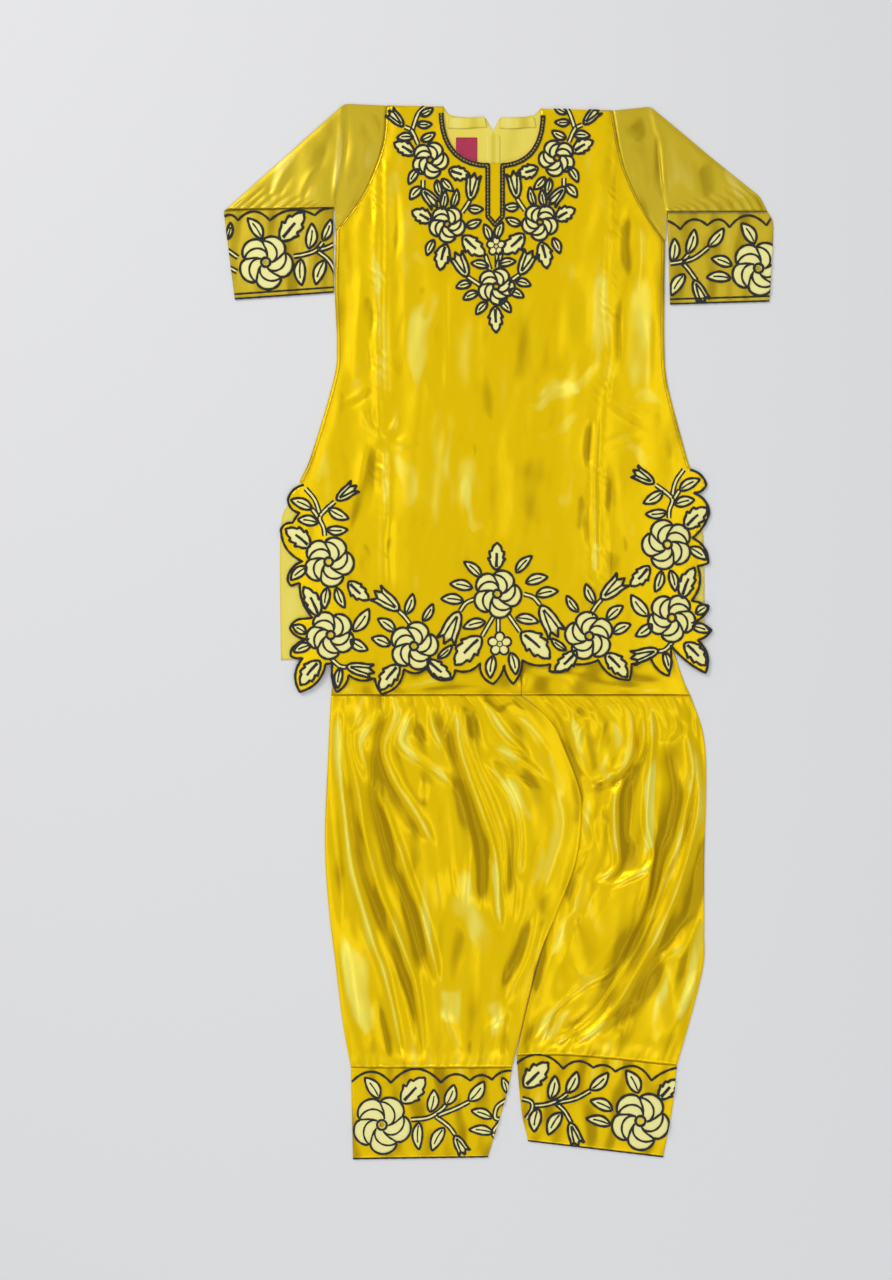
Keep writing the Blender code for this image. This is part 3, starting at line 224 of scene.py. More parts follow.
LEFT_LEG_CREASES = (
    (3.4, 5, 6, 338, 704, 339, 760, 345, 810, 350, 860, 359, 895, 373, 940, 388, 985, 404, 1062),
    (3.8, 5, 6, 346, 716, 349, 752, 358, 790, 365, 835, 372, 864, 382, 895, 398, 934, 416, 985, 424, 1062),
    (-3.2, 6, 7, 345, 770, 353, 830, 362, 870, 380, 918, 400, 965, 416, 1015, 424, 1060),
    (2.2, 5, 5, 366, 706, 354, 724, 346, 740), (2.0, 6, 5, 383, 700, 374, 722, 360, 742, 368, 770, 374, 792),
    (3.8, 5, 6, 372, 780, 386, 812, 397, 842, 407, 872, 418, 902, 428, 935, 440, 986),
    (-4.2, 10, 11, 374, 742, 374, 790, 382, 832, 394, 872, 408, 908, 420, 948, 434, 988),
    (3.4, 5, 6, 402, 702, 390, 728, 384, 752, 396, 782, 412, 806, 426, 830, 437, 850),
    (-3.4, 8, 8, 392, 706, 378, 736, 384, 776, 402, 808, 424, 845),
    (2.8, 6, 7, 418, 700, 404, 728, 402, 744, 424, 762, 446, 778, 458, 796),
    (-2.6, 7, 8, 414, 716, 420, 736, 430, 746), (-1.6, 6, 5, 424, 770, 424, 800, 420, 812),
    (2.8, 4, 5, 430, 698, 432, 722, 440, 742, 449, 760), (-3.0, 5, 7, 440, 702, 438, 722, 446, 745),
    (3.8, 5, 5, 458, 700, 458, 740, 468, 775, 481, 810, 492, 842, 497, 872, 498, 905, 502, 935),
    (-4.0, 8, 11, 452, 712, 452, 742, 464, 780, 474, 815, 482, 855, 482, 914),
    (2.4, 4, 5, 464, 700, 466, 735, 478, 770, 492, 802, 504, 842, 506, 905),
    (-2.4, 6, 6, 474, 704, 474, 730, 482, 748), (2.6, 4, 5, 484, 700, 500, 726, 516, 744, 534, 760),
    (2.8, 5, 6, 480, 742, 506, 752, 532, 768, 552, 786), (-2.6, 5, 7, 482, 752, 504, 766, 526, 780, 548, 792),
    (2.2, 5, 6, 478, 756, 500, 778, 514, 804, 520, 838, 516, 890),
    (1.8, 7, 7, 500, 712, 524, 722, 540, 742, 552, 760), (-1.6, 7, 7, 510, 850, 516, 886, 512, 928),
    (1.8, 10, 8, 552, 780, 560, 820, 552, 862, 536, 906), (2.0, 7, 9, 540, 900, 526, 950, 512, 990, 500, 1010),
    (-2.4, 8, 9, 532, 906, 522, 946, 504, 984), (1.6, 6, 6, 516, 1012, 500, 1018, 484, 1030),
    (-1.8, 6, 6, 508, 1020, 506, 1040, 510, 1062), (1.6, 5, 5, 392, 850, 396, 862, 402, 880),
    (1.4, 8, 8, 434, 862, 440, 900, 438, 925), (-1.4, 7, 7, 450, 852, 452, 880, 458, 905),
    (1.4, 7, 7, 470, 840, 468, 880, 464, 915), (-1.2, 14, 14, 456, 915, 470, 940, 462, 980),
    (1.3, 16, 12, 346, 930, 354, 980, 362, 1040), (-2.0, 5, 7, 336, 850, 340, 900, 342, 930),
    (-1.8, 7, 8, 376, 985, 384, 1030, 392, 1064), (1.4, 8, 8, 440, 1000, 452, 1030, 464, 1060),
)
RIGHT_LEG_CREASES = (
    (3.2, 9, 5, 626, 700, 632, 736, 624, 764, 602, 778, 578, 784),
    (-3.2, 4, 5, 634, 712, 636, 748, 628, 772, 606, 786, 580, 792),
    (2.0, 7, 7, 600, 704, 582, 724, 576, 744, 584, 762), (-1.6, 9, 8, 616, 712, 600, 738, 602, 756),
    (2.4, 5, 4, 560, 700, 572, 712, 572, 730, 560, 738), (-2.4, 6, 6, 556, 712, 552, 732, 562, 752, 572, 774),
    (3.4, 5, 5, 640, 702, 643, 735, 634, 764, 620, 785, 614, 802, 614, 832, 617, 862, 604, 876, 584, 880),
    (-3.2, 9, 9, 640, 752, 626, 790, 624, 830, 630, 848, 620, 872, 604, 886),
    (3.6, 5, 5, 650, 700, 651, 745, 647, 792, 646, 824, 653, 852, 646, 868, 622, 880, 600, 892),
    (4.0, 7, 6, 653, 850, 646, 892, 632, 930, 613, 966, 580, 986, 550, 1012, 524, 1046),
    (-1.6, 5, 9, 640, 905, 620, 955, 600, 972, 566, 994, 540, 1022),
    (-4.4, 11, 12, 664, 736, 674, 790, 668, 826, 660, 852, 652, 896, 636, 940, 612, 988, 582, 1020, 552, 1040),
    (4.0, 6, 5, 684, 722, 692, 770, 684, 812, 678, 842, 664, 872, 655, 902, 640, 942, 614, 984, 588, 1018, 544,
     1050), (3.6, 4, 6, 694, 735, 698, 800, 688, 850, 672, 898, 656, 934, 630, 980, 602, 1020, 566, 1048),
    (-1.8, 3, 4, 690, 800, 684, 836, 666, 884, 650, 925, 622, 978),
    (-3.8, 11, 12, 702, 846, 694, 898, 676, 932, 650, 962, 628, 1004, 600, 1040),
    (2.0, 7, 6, 662, 702, 676, 724, 660, 744, 652, 746), (-1.8, 5, 6, 668, 710, 684, 730, 674, 742),
    (1.8, 4, 4, 696, 702, 696, 728, 700, 748), (2.2, 12, 8, 702, 912, 686, 944, 662, 958, 648, 976, 638, 1010),
    (2.0, 12, 7, 700, 968, 684, 1006, 674, 1034, 668, 1062), (-2.0, 5, 6, 690, 1004, 676, 1026, 664, 1060),
    (1.8, 7, 6, 634, 1000, 624, 1030, 616, 1056), (-1.8, 5, 5, 628, 1016, 620, 1040, 616, 1058),
    (-1.4, 4, 4, 604, 800, 606, 818, 614, 828), (1.8, 8, 8, 576, 800, 590, 826, 598, 850),
    (1.6, 5, 5, 596, 846, 584, 852, 572, 878), (-1.8, 5, 5, 572, 858, 566, 872, 556, 890),
    (1.6, 12, 10, 572, 880, 576, 910, 584, 935), (-1.4, 4, 4, 578, 905, 578, 922, 582, 932),
    (1.6, 6, 6, 566, 960, 584, 975, 610, 968), (-1.8, 5, 5, 546, 1012, 532, 1030, 520, 1050),
    (2.0, 5, 5, 556, 1004, 546, 1028, 536, 1052),
)
BELT_CREASES = (
    (1.0, 4, 5, 384, 688, 420, 684, 450, 678, 480, 676), (-0.9, 3, 4, 400, 692, 440, 688, 486, 686),
    (1.1, 4, 5, 522, 668, 560, 676, 580, 690), (-0.8, 4, 5, 540, 664, 570, 672, 610, 684, 650, 686),
    (-1.2, 4, 5, 610, 668, 636, 678, 668, 680), (0.9, 4, 4, 600, 684, 640, 690, 680, 688),
    (-2.4, 3, 3, 522, 655, 521, 675, 522, 695), (0.9, 4, 3, 516, 655, 515, 675, 516, 695),
)
# A crease fades over this many millimetres at each end, and a path is smoothed in this many steps a stretch.
CREASE_FADE = 42.0
PATH_STEPS = 6
# Painted highlights and painted shades alone, where the satin lies flat but catches or loses the light: a strength in
# place of the height, negative for a painted shade.
TUNIC_PAINTED_LIGHTS = (
    (0.75, 14, 18, 446, 282, 428, 305, 414, 345, 422, 396),
    (0.55, 16, 20, 434, 384, 440, 420, 446, 452, 458, 487, 451, 530),
    (0.65, 13, 12, 604, 262, 600, 300, 596, 345, 590, 378), (0.6, 8, 11, 604, 352, 580, 384, 548, 398, 516, 420),
    (0.6, 22, 18, 640, 262, 642, 320, 640, 380, 646, 420), (0.45, 6, 9, 531, 396, 556, 386, 587, 394),
    (0.5, 8, 8, 526, 444, 558, 430, 584, 408), (0.45, 9, 8, 560, 512, 574, 482, 583, 456),
    (0.55, 5, 7, 464, 468, 466, 498, 475, 525, 492, 540), (0.45, 10, 10, 483, 408, 488, 440, 500, 470),
    (0.6, 10, 13, 381, 444, 402, 466, 409, 492, 397, 522), (0.6, 6, 6, 374, 250, 378, 280, 377, 306),
    (0.6, 8, 8, 384, 480, 384, 508), (0.45, 7, 7, 331, 446, 324, 470, 317, 492),
    (0.45, 8, 9, 336, 384, 352, 388, 368, 380), (0.5, 9, 12, 614, 498, 624, 525, 636, 548),
    (0.6, 6, 6, 594, 541, 594, 580), (0.5, 10, 10, 622, 404, 648, 398, 668, 410),
    (0.45, 10, 10, 616, 446, 640, 452, 656, 470), (0.5, 8, 10, 390, 160, 392, 205, 388, 246),
    (0.45, 8, 8, 411, 250, 420, 262, 434, 270), (0.45, 8, 8, 596, 182, 602, 200, 604, 226),
    (0.4, 8, 8, 352, 540, 362, 556, 360, 585), (0.4, 8, 10, 404, 562, 410, 585, 402, 604),
    (-0.4, 12, 14, 350, 240, 352, 300, 350, 360), (-0.65, 6, 6, 366, 284, 369, 310, 367, 336),
    (-0.45, 8, 10, 388, 344, 400, 372, 416, 404), (-0.5, 9, 9, 420, 284, 426, 304, 422, 326),
    (-0.4, 7, 8, 404, 300, 398, 330, 396, 356), (-0.8, 9, 10, 370, 439, 366, 468, 361, 492, 354, 519, 349, 538),
    (-0.75, 6, 6, 397, 533, 388, 549, 384, 568), (-0.7, 8, 8, 368, 538, 365, 562, 366, 582),
    (-0.45, 5, 5, 428, 504, 427, 532), (-0.6, 5, 5, 472, 440, 473, 460), (-0.4, 4, 4, 447, 394, 444, 434, 437, 470),
    (-0.52, 7, 6, 592, 418, 587, 446, 584, 478), (-0.6, 8, 9, 584, 494, 581, 519, 579, 536),
    (-0.5, 7, 7, 611, 468, 611, 492, 606, 519, 607, 541), (-0.7, 12, 12, 606, 544, 609, 567, 600, 586),
    (-0.5, 5, 5, 622, 531, 627, 553), (-0.4, 16, 14, 657, 405, 663, 434, 676, 464),
    (-0.42, 9, 8, 628, 206, 626, 245, 628, 284), (-0.42, 7, 5, 616, 290, 618, 330, 616, 376),
    (-0.3, 40, 40, 500, 300, 520, 350, 500, 390), (-0.3, 34, 34, 520, 450, 540, 490, 520, 530),
    (-0.3, 8, 8, 420, 450, 404, 440),
)
SLEEVE_PAINTED_LIGHTS = (
    (-0.45, 7, 7, 344, 222, 362, 204, 374, 172), (-0.45, 7, 7, 656, 224, 640, 204, 628, 172),
    (-0.45, 7, 7, 368, 112, 378, 122, 378, 140), (-0.5, 14, 14, 330, 112, 326, 140, 312, 172, 306, 196),
    (0.6, 5, 6, 340, 118, 338, 160, 334, 200), (0.6, 10, 10, 298, 142, 284, 168, 262, 196),
    (0.55, 8, 8, 318, 170, 312, 190, 308, 204), (-0.3, 8, 8, 270, 176, 256, 192, 244, 204),
    (-0.4, 6, 6, 286, 166, 282, 190, 280, 206), (-0.4, 12, 12, 360, 116, 364, 150, 350, 196),
    (0.35, 8, 8, 374, 118, 374, 142, 366, 176), (0.4, 14, 14, 668, 122, 680, 160, 690, 205),
    (-0.65, 12, 12, 698, 158, 708, 180, 708, 204), (0.55, 10, 10, 722, 160, 738, 184, 746, 206),
    (-0.7, 7, 5, 654, 124, 658, 160, 662, 208), (-0.3, 14, 14, 630, 124, 640, 160, 648, 200),
    (-0.55, 7, 7, 628, 112, 640, 128, 646, 146), (-0.4, 8, 8, 752, 198, 762, 210),
)
LEG_PAINTED_LIGHTS = (
    (0.85, 14, 18, 347, 926, 354, 966, 364, 1010, 372, 1052), (-0.8, 5, 6, 474, 702, 500, 706, 530, 707),
    (-0.35, 8, 8, 566, 770, 572, 800, 570, 830), (0.65, 18, 20, 452, 850, 466, 912, 484, 942, 486, 975),
    (0.7, 13, 13, 444, 980, 452, 1004, 440, 1028), (0.6, 10, 12, 484, 997, 497, 1010, 494, 1044),
    (0.45, 7, 7, 345, 716, 354, 704, 372, 702), (0.4, 10, 12, 404, 770, 430, 800, 436, 830),
    (0.45, 8, 8, 418, 850, 424, 900, 428, 950), (0.45, 8, 10, 498, 778, 520, 800, 540, 820),
    (0.6, 8, 8, 544, 836, 538, 870, 528, 900), (0.45, 6, 6, 540, 742, 556, 770, 560, 800),
    (0.6, 5, 6, 488, 848, 496, 888, 500, 930), (-0.5, 6, 7, 336, 772, 341, 832, 347, 890),
    (-0.75, 6, 7, 352, 780, 362, 837, 378, 890, 398, 955, 411, 1005, 420, 1056),
    (-0.75, 9, 11, 376, 756, 382, 805, 397, 859, 409, 905, 430, 969, 440, 990),
    (-0.6, 7, 8, 391, 728, 400, 758, 413, 790, 432, 820), (-0.9, 10, 14, 444, 756, 463, 810, 478, 848, 484, 910),
    (-0.45, 12, 12, 512, 800, 507, 859, 511, 908), (-0.75, 8, 9, 531, 906, 523, 942, 507, 977, 497, 996),
    (-0.4, 8, 8, 508, 720, 530, 734, 548, 760), (-0.5, 6, 6, 462, 702, 468, 726, 476, 744),
    (-0.6, 7, 7, 378, 1000, 386, 1030, 394, 1060), (-0.5, 6, 6, 470, 1036, 474, 1060),
    (-0.8, 10, 10, 638, 718, 641, 752, 624, 800, 622, 848, 614, 880),
    (-0.9, 12, 13, 668, 750, 676, 800, 661, 848, 646, 890, 630, 933, 604, 978, 572, 1012),
    (-0.85, 13, 14, 698, 790, 701, 859, 689, 903, 671, 944, 636, 1000, 594, 1042),
    (-0.7, 6, 7, 558, 732, 572, 768, 594, 780, 618, 764), (-0.45, 8, 8, 545, 876, 541, 910, 536, 940),
    (-0.7, 6, 6, 534, 948, 538, 992), (-0.5, 8, 10, 566, 704, 586, 716, 600, 708),
    (-0.35, 10, 10, 582, 730, 596, 742, 604, 760), (0.85, 8, 9, 659, 745, 648, 790, 650, 832, 640, 868),
    (0.6, 6, 6, 605, 712, 617, 730, 611, 755, 585, 774), (0.5, 9, 9, 590, 796, 580, 830, 592, 850),
    (0.75, 12, 13, 567, 885, 556, 928, 546, 968), (0.45, 8, 8, 580, 884, 594, 914, 606, 944),
    (0.85, 10, 12, 655, 970, 676, 940, 699, 912), (0.75, 10, 10, 664, 972, 660, 1010, 652, 1050),
    (0.6, 8, 9, 692, 930, 689, 985, 678, 1030), (0.75, 4, 4, 683, 812, 675, 859, 661, 889, 640, 940),
    (0.8, 6, 6, 543, 1044, 556, 1024, 574, 1008), (0.6, 7, 7, 586, 1046, 600, 1030, 618, 1012),
    (0.4, 7, 7, 676, 760, 684, 776, 690, 800),
)
PRINCESS_SEAMS = (
    (384, 108, 382, 150, 379, 200, 380, 300, 381, 420, 380, 500, 379, 596),
    (617, 112, 616, 150, 612, 220, 607, 300, 609, 350, 602, 410, 597, 470, 600, 505, 594, 600),
)
SEAM_REACH = 15.0

# Embroidery, charted in chart steps. A leaf, a jagged leaf and a bud run from base to tip, with a width.
NECK_CHART = {
    "flowers": ((430, 161, 18, -30), (447, 225, 18, -20),),
    "leaves": (
        (420, 116, 433, 109, 8), (417, 125, 432, 125, 8), (421, 141, 435, 134, 9), (413, 138, 397, 139, 9),
        (418, 170, 409, 185, 9), (421, 188, 410, 200, 10), (437, 181, 441, 198, 8), (442, 180, 453, 192, 9),
        (442, 210, 445, 192, 8), (452, 209, 457, 190, 8), (468, 209, 483, 210, 9), (466, 227, 481, 221, 9),
        (434, 241, 427, 256, 9), (490, 241, 484, 225, 9), (488, 267, 471, 264, 9), (471, 284, 456, 288, 9),
        (478, 293, 463, 300, 9), (487, 303, 476, 315, 9),
    ),
    "jagged": (
        (414, 155, 394, 144, 14), (449, 171, 470, 177, 14), (431, 222, 412, 212, 15), (463, 237, 485, 256, 17),
        (446, 245, 440, 271, 15),
    ),
    "buds": (
        (403, 127, 389, 112, 12), (470, 201, 474, 175, 15), (422, 190, 437, 207, 13), (467, 277, 455, 254, 16),
    ),
    "stems": (
        (418, 145, 412, 132, 405, 128), (412, 132, 418, 115, 425, 108), (423, 181, 423, 189),
        (462, 213, 467, 206, 470, 201), (485, 255, 490, 270), (467, 277, 480, 286),
    ),
}
HEM_CHART = {
    "flowers": ((329, 562, 25, -30), (331, 635, 24, -10), (414, 646, 24, -40),),
    "leaves": (
        (312, 509, 291, 500, 11), (318, 523, 298, 520, 11), (329, 509, 349, 519, 11), (327, 530, 348, 530, 10),
        (307, 567, 291, 580, 11), (328, 588, 325, 609, 10), (337, 588, 345, 608, 10), (354, 631, 369, 609, 13),
        (306, 633, 293, 626, 10), (311, 645, 294, 652, 10), (351, 640, 368, 650, 11), (341, 668, 338, 688, 9),
        (395, 631, 378, 619, 11), (390, 645, 372, 638, 11), (406, 614, 413, 594, 10), (423, 621, 433, 604, 9),
        (438, 658, 452, 645, 8), (472, 588, 450, 584, 11), (463, 601, 441, 599, 11), (481, 577, 464, 562, 10),
        (485, 622, 463, 628, 11), (493, 656, 490, 678, 11),
    ),
    "jagged": (
        (310, 547, 286, 529, 18), (349, 582, 369, 600, 15), (319, 616, 304, 587, 16), (320, 661, 301, 685, 17),
        (428, 660, 451, 678, 15), (399, 665, 380, 690, 17), (481, 637, 455, 665, 21),
    ),
    "buds": (
        (459, 612, 445, 643, 20), (399, 610, 375, 592, 18), (347, 666, 374, 672, 15), (337, 500, 356, 486, 14),
    ),
    "stems": (
        (335, 502, 326, 510, 320, 518, 324, 528, 325, 536), (306, 489, 315, 500, 320, 514), (312, 509, 319, 518),
        (399, 611, 405, 617, 411, 625), (460, 611, 466, 603, 475, 599), (332, 659, 340, 666, 347, 667),
        (493, 617, 482, 636),
    ),
}
CUFF_CHARTS = {
    "sleeve_left": {
        "flowers": ((266, 263, 27, -28),),
        "leaves": (
            (262, 239, 248, 219, 12), (309, 249, 312, 224, 12), (323, 241, 331, 220, 10), (301, 260, 302, 286, 12),
            (325, 261, 316, 285, 12), (227, 240, 231, 223, 7),
        ),
        "jagged": ((281, 241, 304, 213, 20),),
        "buds": (),
        "stems": (
            (294, 257, 305, 255, 316, 251, 323, 243), (317, 250, 325, 249, 334, 245),
            (318, 252, 329, 261, 336, 274), (228, 251, 238, 258), (229, 268, 237, 272),
        ),
        "scallops": ((224, 217, 0), (238, 221, 3.5), (270, 221, 9), (315, 216, 8), (332, 208, 2),),
        "thinner": 0.0,
    },
    "sleeve_right": {
        "flowers": ((758, 269, 27, -25),),
        "leaves": (
            (672, 262, 674, 239, 11), (687, 254, 694, 230, 11), (708, 247, 723, 229, 11), (754, 244, 741, 224, 13),
            (731, 266, 711, 259, 11), (730, 279, 706, 278, 11), (684, 275, 671, 296, 12),
        ),
        "jagged": (),
        "buds": ((694, 281, 704, 303, 14),),
        "stems": ((670, 264, 681, 262, 688, 255), (682, 263, 695, 258, 708, 248), (682, 263, 688, 270, 696, 281),),
        "scallops": ((666, 221, 0), (680, 230, 1), (707, 226, 8), (729, 228, 7), (766, 226, 11), (771, 218, 0),),
        "thinner": 0.0,
    },
    "ankle_left": {
        "flowers": ((382, 1124, 29, -23),),
        "leaves": (
            (379, 1097, 365, 1077, 13), (430, 1111, 434, 1089, 12), (446, 1104, 454, 1084, 12),
            (469, 1100, 484, 1081, 13), (492, 1117, 471, 1110, 10), (493, 1132, 469, 1129, 10),
            (419, 1122, 419, 1149, 11), (444, 1127, 432, 1150, 12), (507, 1092, 502, 1077, 8),
        ),
        "jagged": ((402, 1102, 425, 1077, 20),),
        "buds": ((455, 1135, 465, 1153, 13),),
        "stems": (
            (411, 1119, 428, 1117, 440, 1110, 446, 1104), (437, 1115, 455, 1108, 469, 1101),
            (436, 1116, 448, 1125, 455, 1134), (507, 1099, 497, 1106, 495, 1117, 501, 1119),
            (501, 1120, 493, 1132, 499, 1140),
        ),
        "scallops": (
            (352, 1081, 0), (391, 1082, 10.5), (441, 1082, 14), (470, 1080, 7.5), (492, 1079, 5), (512, 1070, 3),
        ),
        "thinner": 0.3,
    },
    "ankle_right": {
        "flowers": ((640, 1120, 29, -20),),
        "leaves": (
            (550, 1098, 555, 1075, 12), (567, 1092, 577, 1071, 12), (590, 1089, 608, 1072, 12),
            (638, 1092, 626, 1070, 14), (612, 1109, 590, 1100, 12), (610, 1124, 586, 1118, 11),
            (538, 1108, 534, 1131, 13), (561, 1112, 548, 1134, 13),
        ),
        "jagged": ((524, 1086, 548, 1062, 20), (659, 1098, 676, 1079, 15),),
        "buds": ((570, 1122, 578, 1145, 14),),
        "stems": (
            (533, 1105, 545, 1104, 557, 1100, 567, 1093), (556, 1102, 575, 1098, 590, 1090),
            (555, 1102, 564, 1110, 571, 1122), (522, 1098, 531, 1101, 532, 1108, 526, 1118),
        ),
        "scallops": (
            (514, 1065, 0), (563, 1068, 13), (593, 1067, 7), (615, 1071, 4.5), (651, 1080, 10), (677, 1067, 2),
        ),
        "thinner": 0.0,
    },
}
# Pads of laid thread, in millimetres: how far they sink into the cloth, how high their edge stands and how much
# higher their middle is. A stem is twice its half wide, and has a point at each step.
FILL_SINK = 0.3
FILL_EDGE = 0.35
FILL_RISE = 0.75
STEM_HALF = 2.7
STEM_STEP = 3.0
# The cuffs' finer cords, as shares of the outline's radius.
CUFF_VEINS = {"leaf": 0.8, "jagged": 0.9, "bud": 0.8, "flower": 0.85, "stem": 0.8}


def smooth(share):
    """0 below 0, 1 above 1, and 3 s squared - 2 s cubed between."""
    share = np.clip(share, 0.0, 1.0)
    return share * share * (3 - 2 * share)


def from_chart(points):
    """Chart steps turned to millimetres of the lay plan: each step less the chart's origin, times 1.5 mm."""
    return (np.asarray(points, float) - CHART_ORIGIN) * CHART_STEP


def placed(across, down, height):
    """Points in metres with the lay's middle over the origin: across to +X, down to -Y and height to +Z."""
    across, down, height = np.broadcast_arrays(across, down, height)
    return np.stack([across - LAY_MIDDLE[0], LAY_MIDDLE[1] - down, height], axis=-1) * MM


def curve_through(points, steps=10):
    """A Catmull-Rom line through the points, as an array with the given steps between each two."""
    points = np.asarray(points, float)
    if len(points) == 2:
        return points[0] + np.linspace(0, 1, steps + 1)[:, None] * (points[1] - points[0])
    ends = np.vstack([2 * points[0] - points[1], points, 2 * points[-1] - points[-2]])
    before, start, end, after = (ends[i:len(ends) - 3 + i, None] for i in range(4))
    t = np.linspace(0, 1, steps, endpoint=False)[None, :, None]
    line = 0.5 * (2 * start + (end - before) * t + (2 * before - 5 * start + 4 * end - after) * t**2
                  + (3 * start - before - 3 * end + after) * t**3)
    return np.vstack([line.reshape(-1, points.shape[1]), points[-1:]])


def length_of(line):
    """The length of a line."""
    return np.linalg.norm(np.diff(line, axis=0), axis=1).sum()


def gone_along(line):
    """How far along a line each of its points lies."""
    return np.concatenate([[0], np.cumsum(np.linalg.norm(np.diff(line, axis=0), axis=1))])


def spaced(line, count):
    """count + 1 points spread evenly along a line, by its own length."""
    line = np.asarray(line, float)
    along = gone_along(line)
    at = np.linspace(0, along[-1], count + 1)
    return np.stack([np.interp(at, along, column) for column in line.T], axis=1)


def stepped(line, step):
    """The line with its points about one step apart."""
    return spaced(line, max(2, int(round(length_of(line) / step))))


def square_to(line, closed=False):
    """The unit vectors square to a line at its points, on its right as seen from above."""
    run = np.roll(line, -1, axis=0) - np.roll(line, 1, axis=0) if closed else np.gradient(line, axis=0)
    run = run / np.maximum(np.linalg.norm(run, axis=1), 1e-9)[:, None]
    return np.stack([-run[:, 1], run[:, 0]], axis=1)


def swelling(start, end, swell, steps):
    """The points after start on a parabola to end that swells to its right by the given height."""
    start, end = np.array(start, float), np.array(end, float)
    chord = end - start
    side = np.array([-chord[1], chord[0]]) / max(np.linalg.norm(chord), 1e-9)
    t = np.linspace(0, 1, steps + 1)[1:, None]
    return start + chord * t + side * swell * 4 * t * (1 - t)


def beside(across, down, line):
    """How far points lie from a line, - to its right, and how far along it the nearest place is, from 0 to 1.

    Each point is set against every stretch of the line at once, and the nearest stretch is kept.
    """
    starts, ends = line[:-1], line[1:]
    run = ends - starts
    lengths = np.maximum(np.linalg.norm(run, axis=1), 1e-9)
    gone = np.concatenate([[0], np.cumsum(lengths)])
    offset = np.stack([np.ravel(across), np.ravel(down)], axis=1)[:, None] - starts
    share = np.clip((offset * run).sum(2) / lengths**2, 0, 1)
    away = offset - share[..., None] * run
    distance = np.linalg.norm(away, axis=2)
    nearest = distance.argmin(axis=1)
    pick = np.arange(len(nearest))
    turn = run[nearest, 0] * away[pick, nearest, 1] - run[nearest, 1] * away[pick, nearest, 0]
    along = (gone[nearest] + share[pick, nearest] * lengths[nearest]) / gone[-1]
    shape = np.shape(across)
    return (np.sign(turn) * distance[pick, nearest]).reshape(shape), along.reshape(shape)


def near_line(across, down, line, reach):
    """Distance from a line and place along it, with everything outside the line's own box left far away."""
    low, high = line.min(axis=0) - reach, line.max(axis=0) + reach
    near = (across > low[0]) & (across < high[0]) & (down > low[1]) & (down < high[1])
    distance, along = np.full(np.shape(across), 1e6), np.zeros(np.shape(across))
    if near.any():
        distance[near], along[near] = beside(across[near], down[near], line)
    return distance, along


def charted(row):
    """One row of a crease or light chart: its strength, its left and right width, and its path as a line."""
    return (*row[:3], curve_through(from_chart(np.reshape(row[3:], (-1, 2))), PATH_STEPS))


def creased(across, down, rows):
    """The height and the painted light and shade of a chart of creases.

    Each crease is a bell across its path, exp(-(distance / width) to the 1.6), that fades and narrows towards both
    ends. Ridges are painted lighter and troughs painted darker, a painted highlight and a painted shade, each by its
    own height.
    """
    height, painted_shading = np.zeros(np.shape(across)), np.zeros(np.shape(across))
    for rise, left_width, right_width, line in map(charted, rows):
        fade = min(CREASE_FADE / length_of(line), 0.5)
        distance, along = near_line(across, down, line, 3 * max(left_width, right_width))
        ends = smooth(along / fade) * smooth((1 - along) / fade)
        width = np.where(distance > 0, left_width, right_width) * (0.55 + 0.45 * ends)
        profile = np.exp(-(np.abs(distance) / width) ** 1.6) * ends
        height += rise * profile
        painted_shading += np.sign(rise) * min(abs(rise) / 3.0, 1.0) * profile
    return height, painted_shading


def lights(across, down, rows):
    """The painted light and shade of a chart of flat painted highlights and painted shades, with edges that wander.

    A light is an even band along its path with a soft edge, and a shade is a bell, exp(-(distance / width) squared).
    Both narrow and fade towards their ends. The plan is warped by a few millimetres first, so that no edge runs
    straight.
    """
    warped_across = across + 4.0 * ripple(across, down, 34.0, 1.8, 5)
    warped_down = down + 9.0 * ripple(across, down, 40.0, 1.4, 7)
    total = np.zeros(np.shape(across))
    for strength, left_width, right_width, line in map(charted, rows):
        distance, along = near_line(warped_across, warped_down, line, 2 * max(left_width, right_width))
        ends = smooth(along / 0.35) * smooth((1 - along) / 0.35)
        width = np.where(distance > 0, left_width, right_width) * (0.3 + 0.7 * ends)
        away = np.abs(distance) / width
        band = smooth((1.45 - away) / 0.95) if strength > 0 else np.exp(-(away**2))
        total += strength * band * smooth(ends / 0.7)
    return total


def ripple(across, down, wavelength, stretch, seed):
    """A soft unevenness between -1 and 1: seven slanting sine waves of about one wavelength, longer down the cloth."""
    random = np.random.default_rng(seed)
    total = np.zeros(np.shape(across))
    for _ in range(7):
        turn, phase = random.uniform(-0.6, 0.6), random.uniform(0, 2 * math.pi)
        pitch = wavelength * random.uniform(0.7, 1.5)
        total += np.sin(2 * math.pi * (across * math.cos(turn) + down * math.sin(turn) / stretch) / pitch + phase)
    return total / 4.0


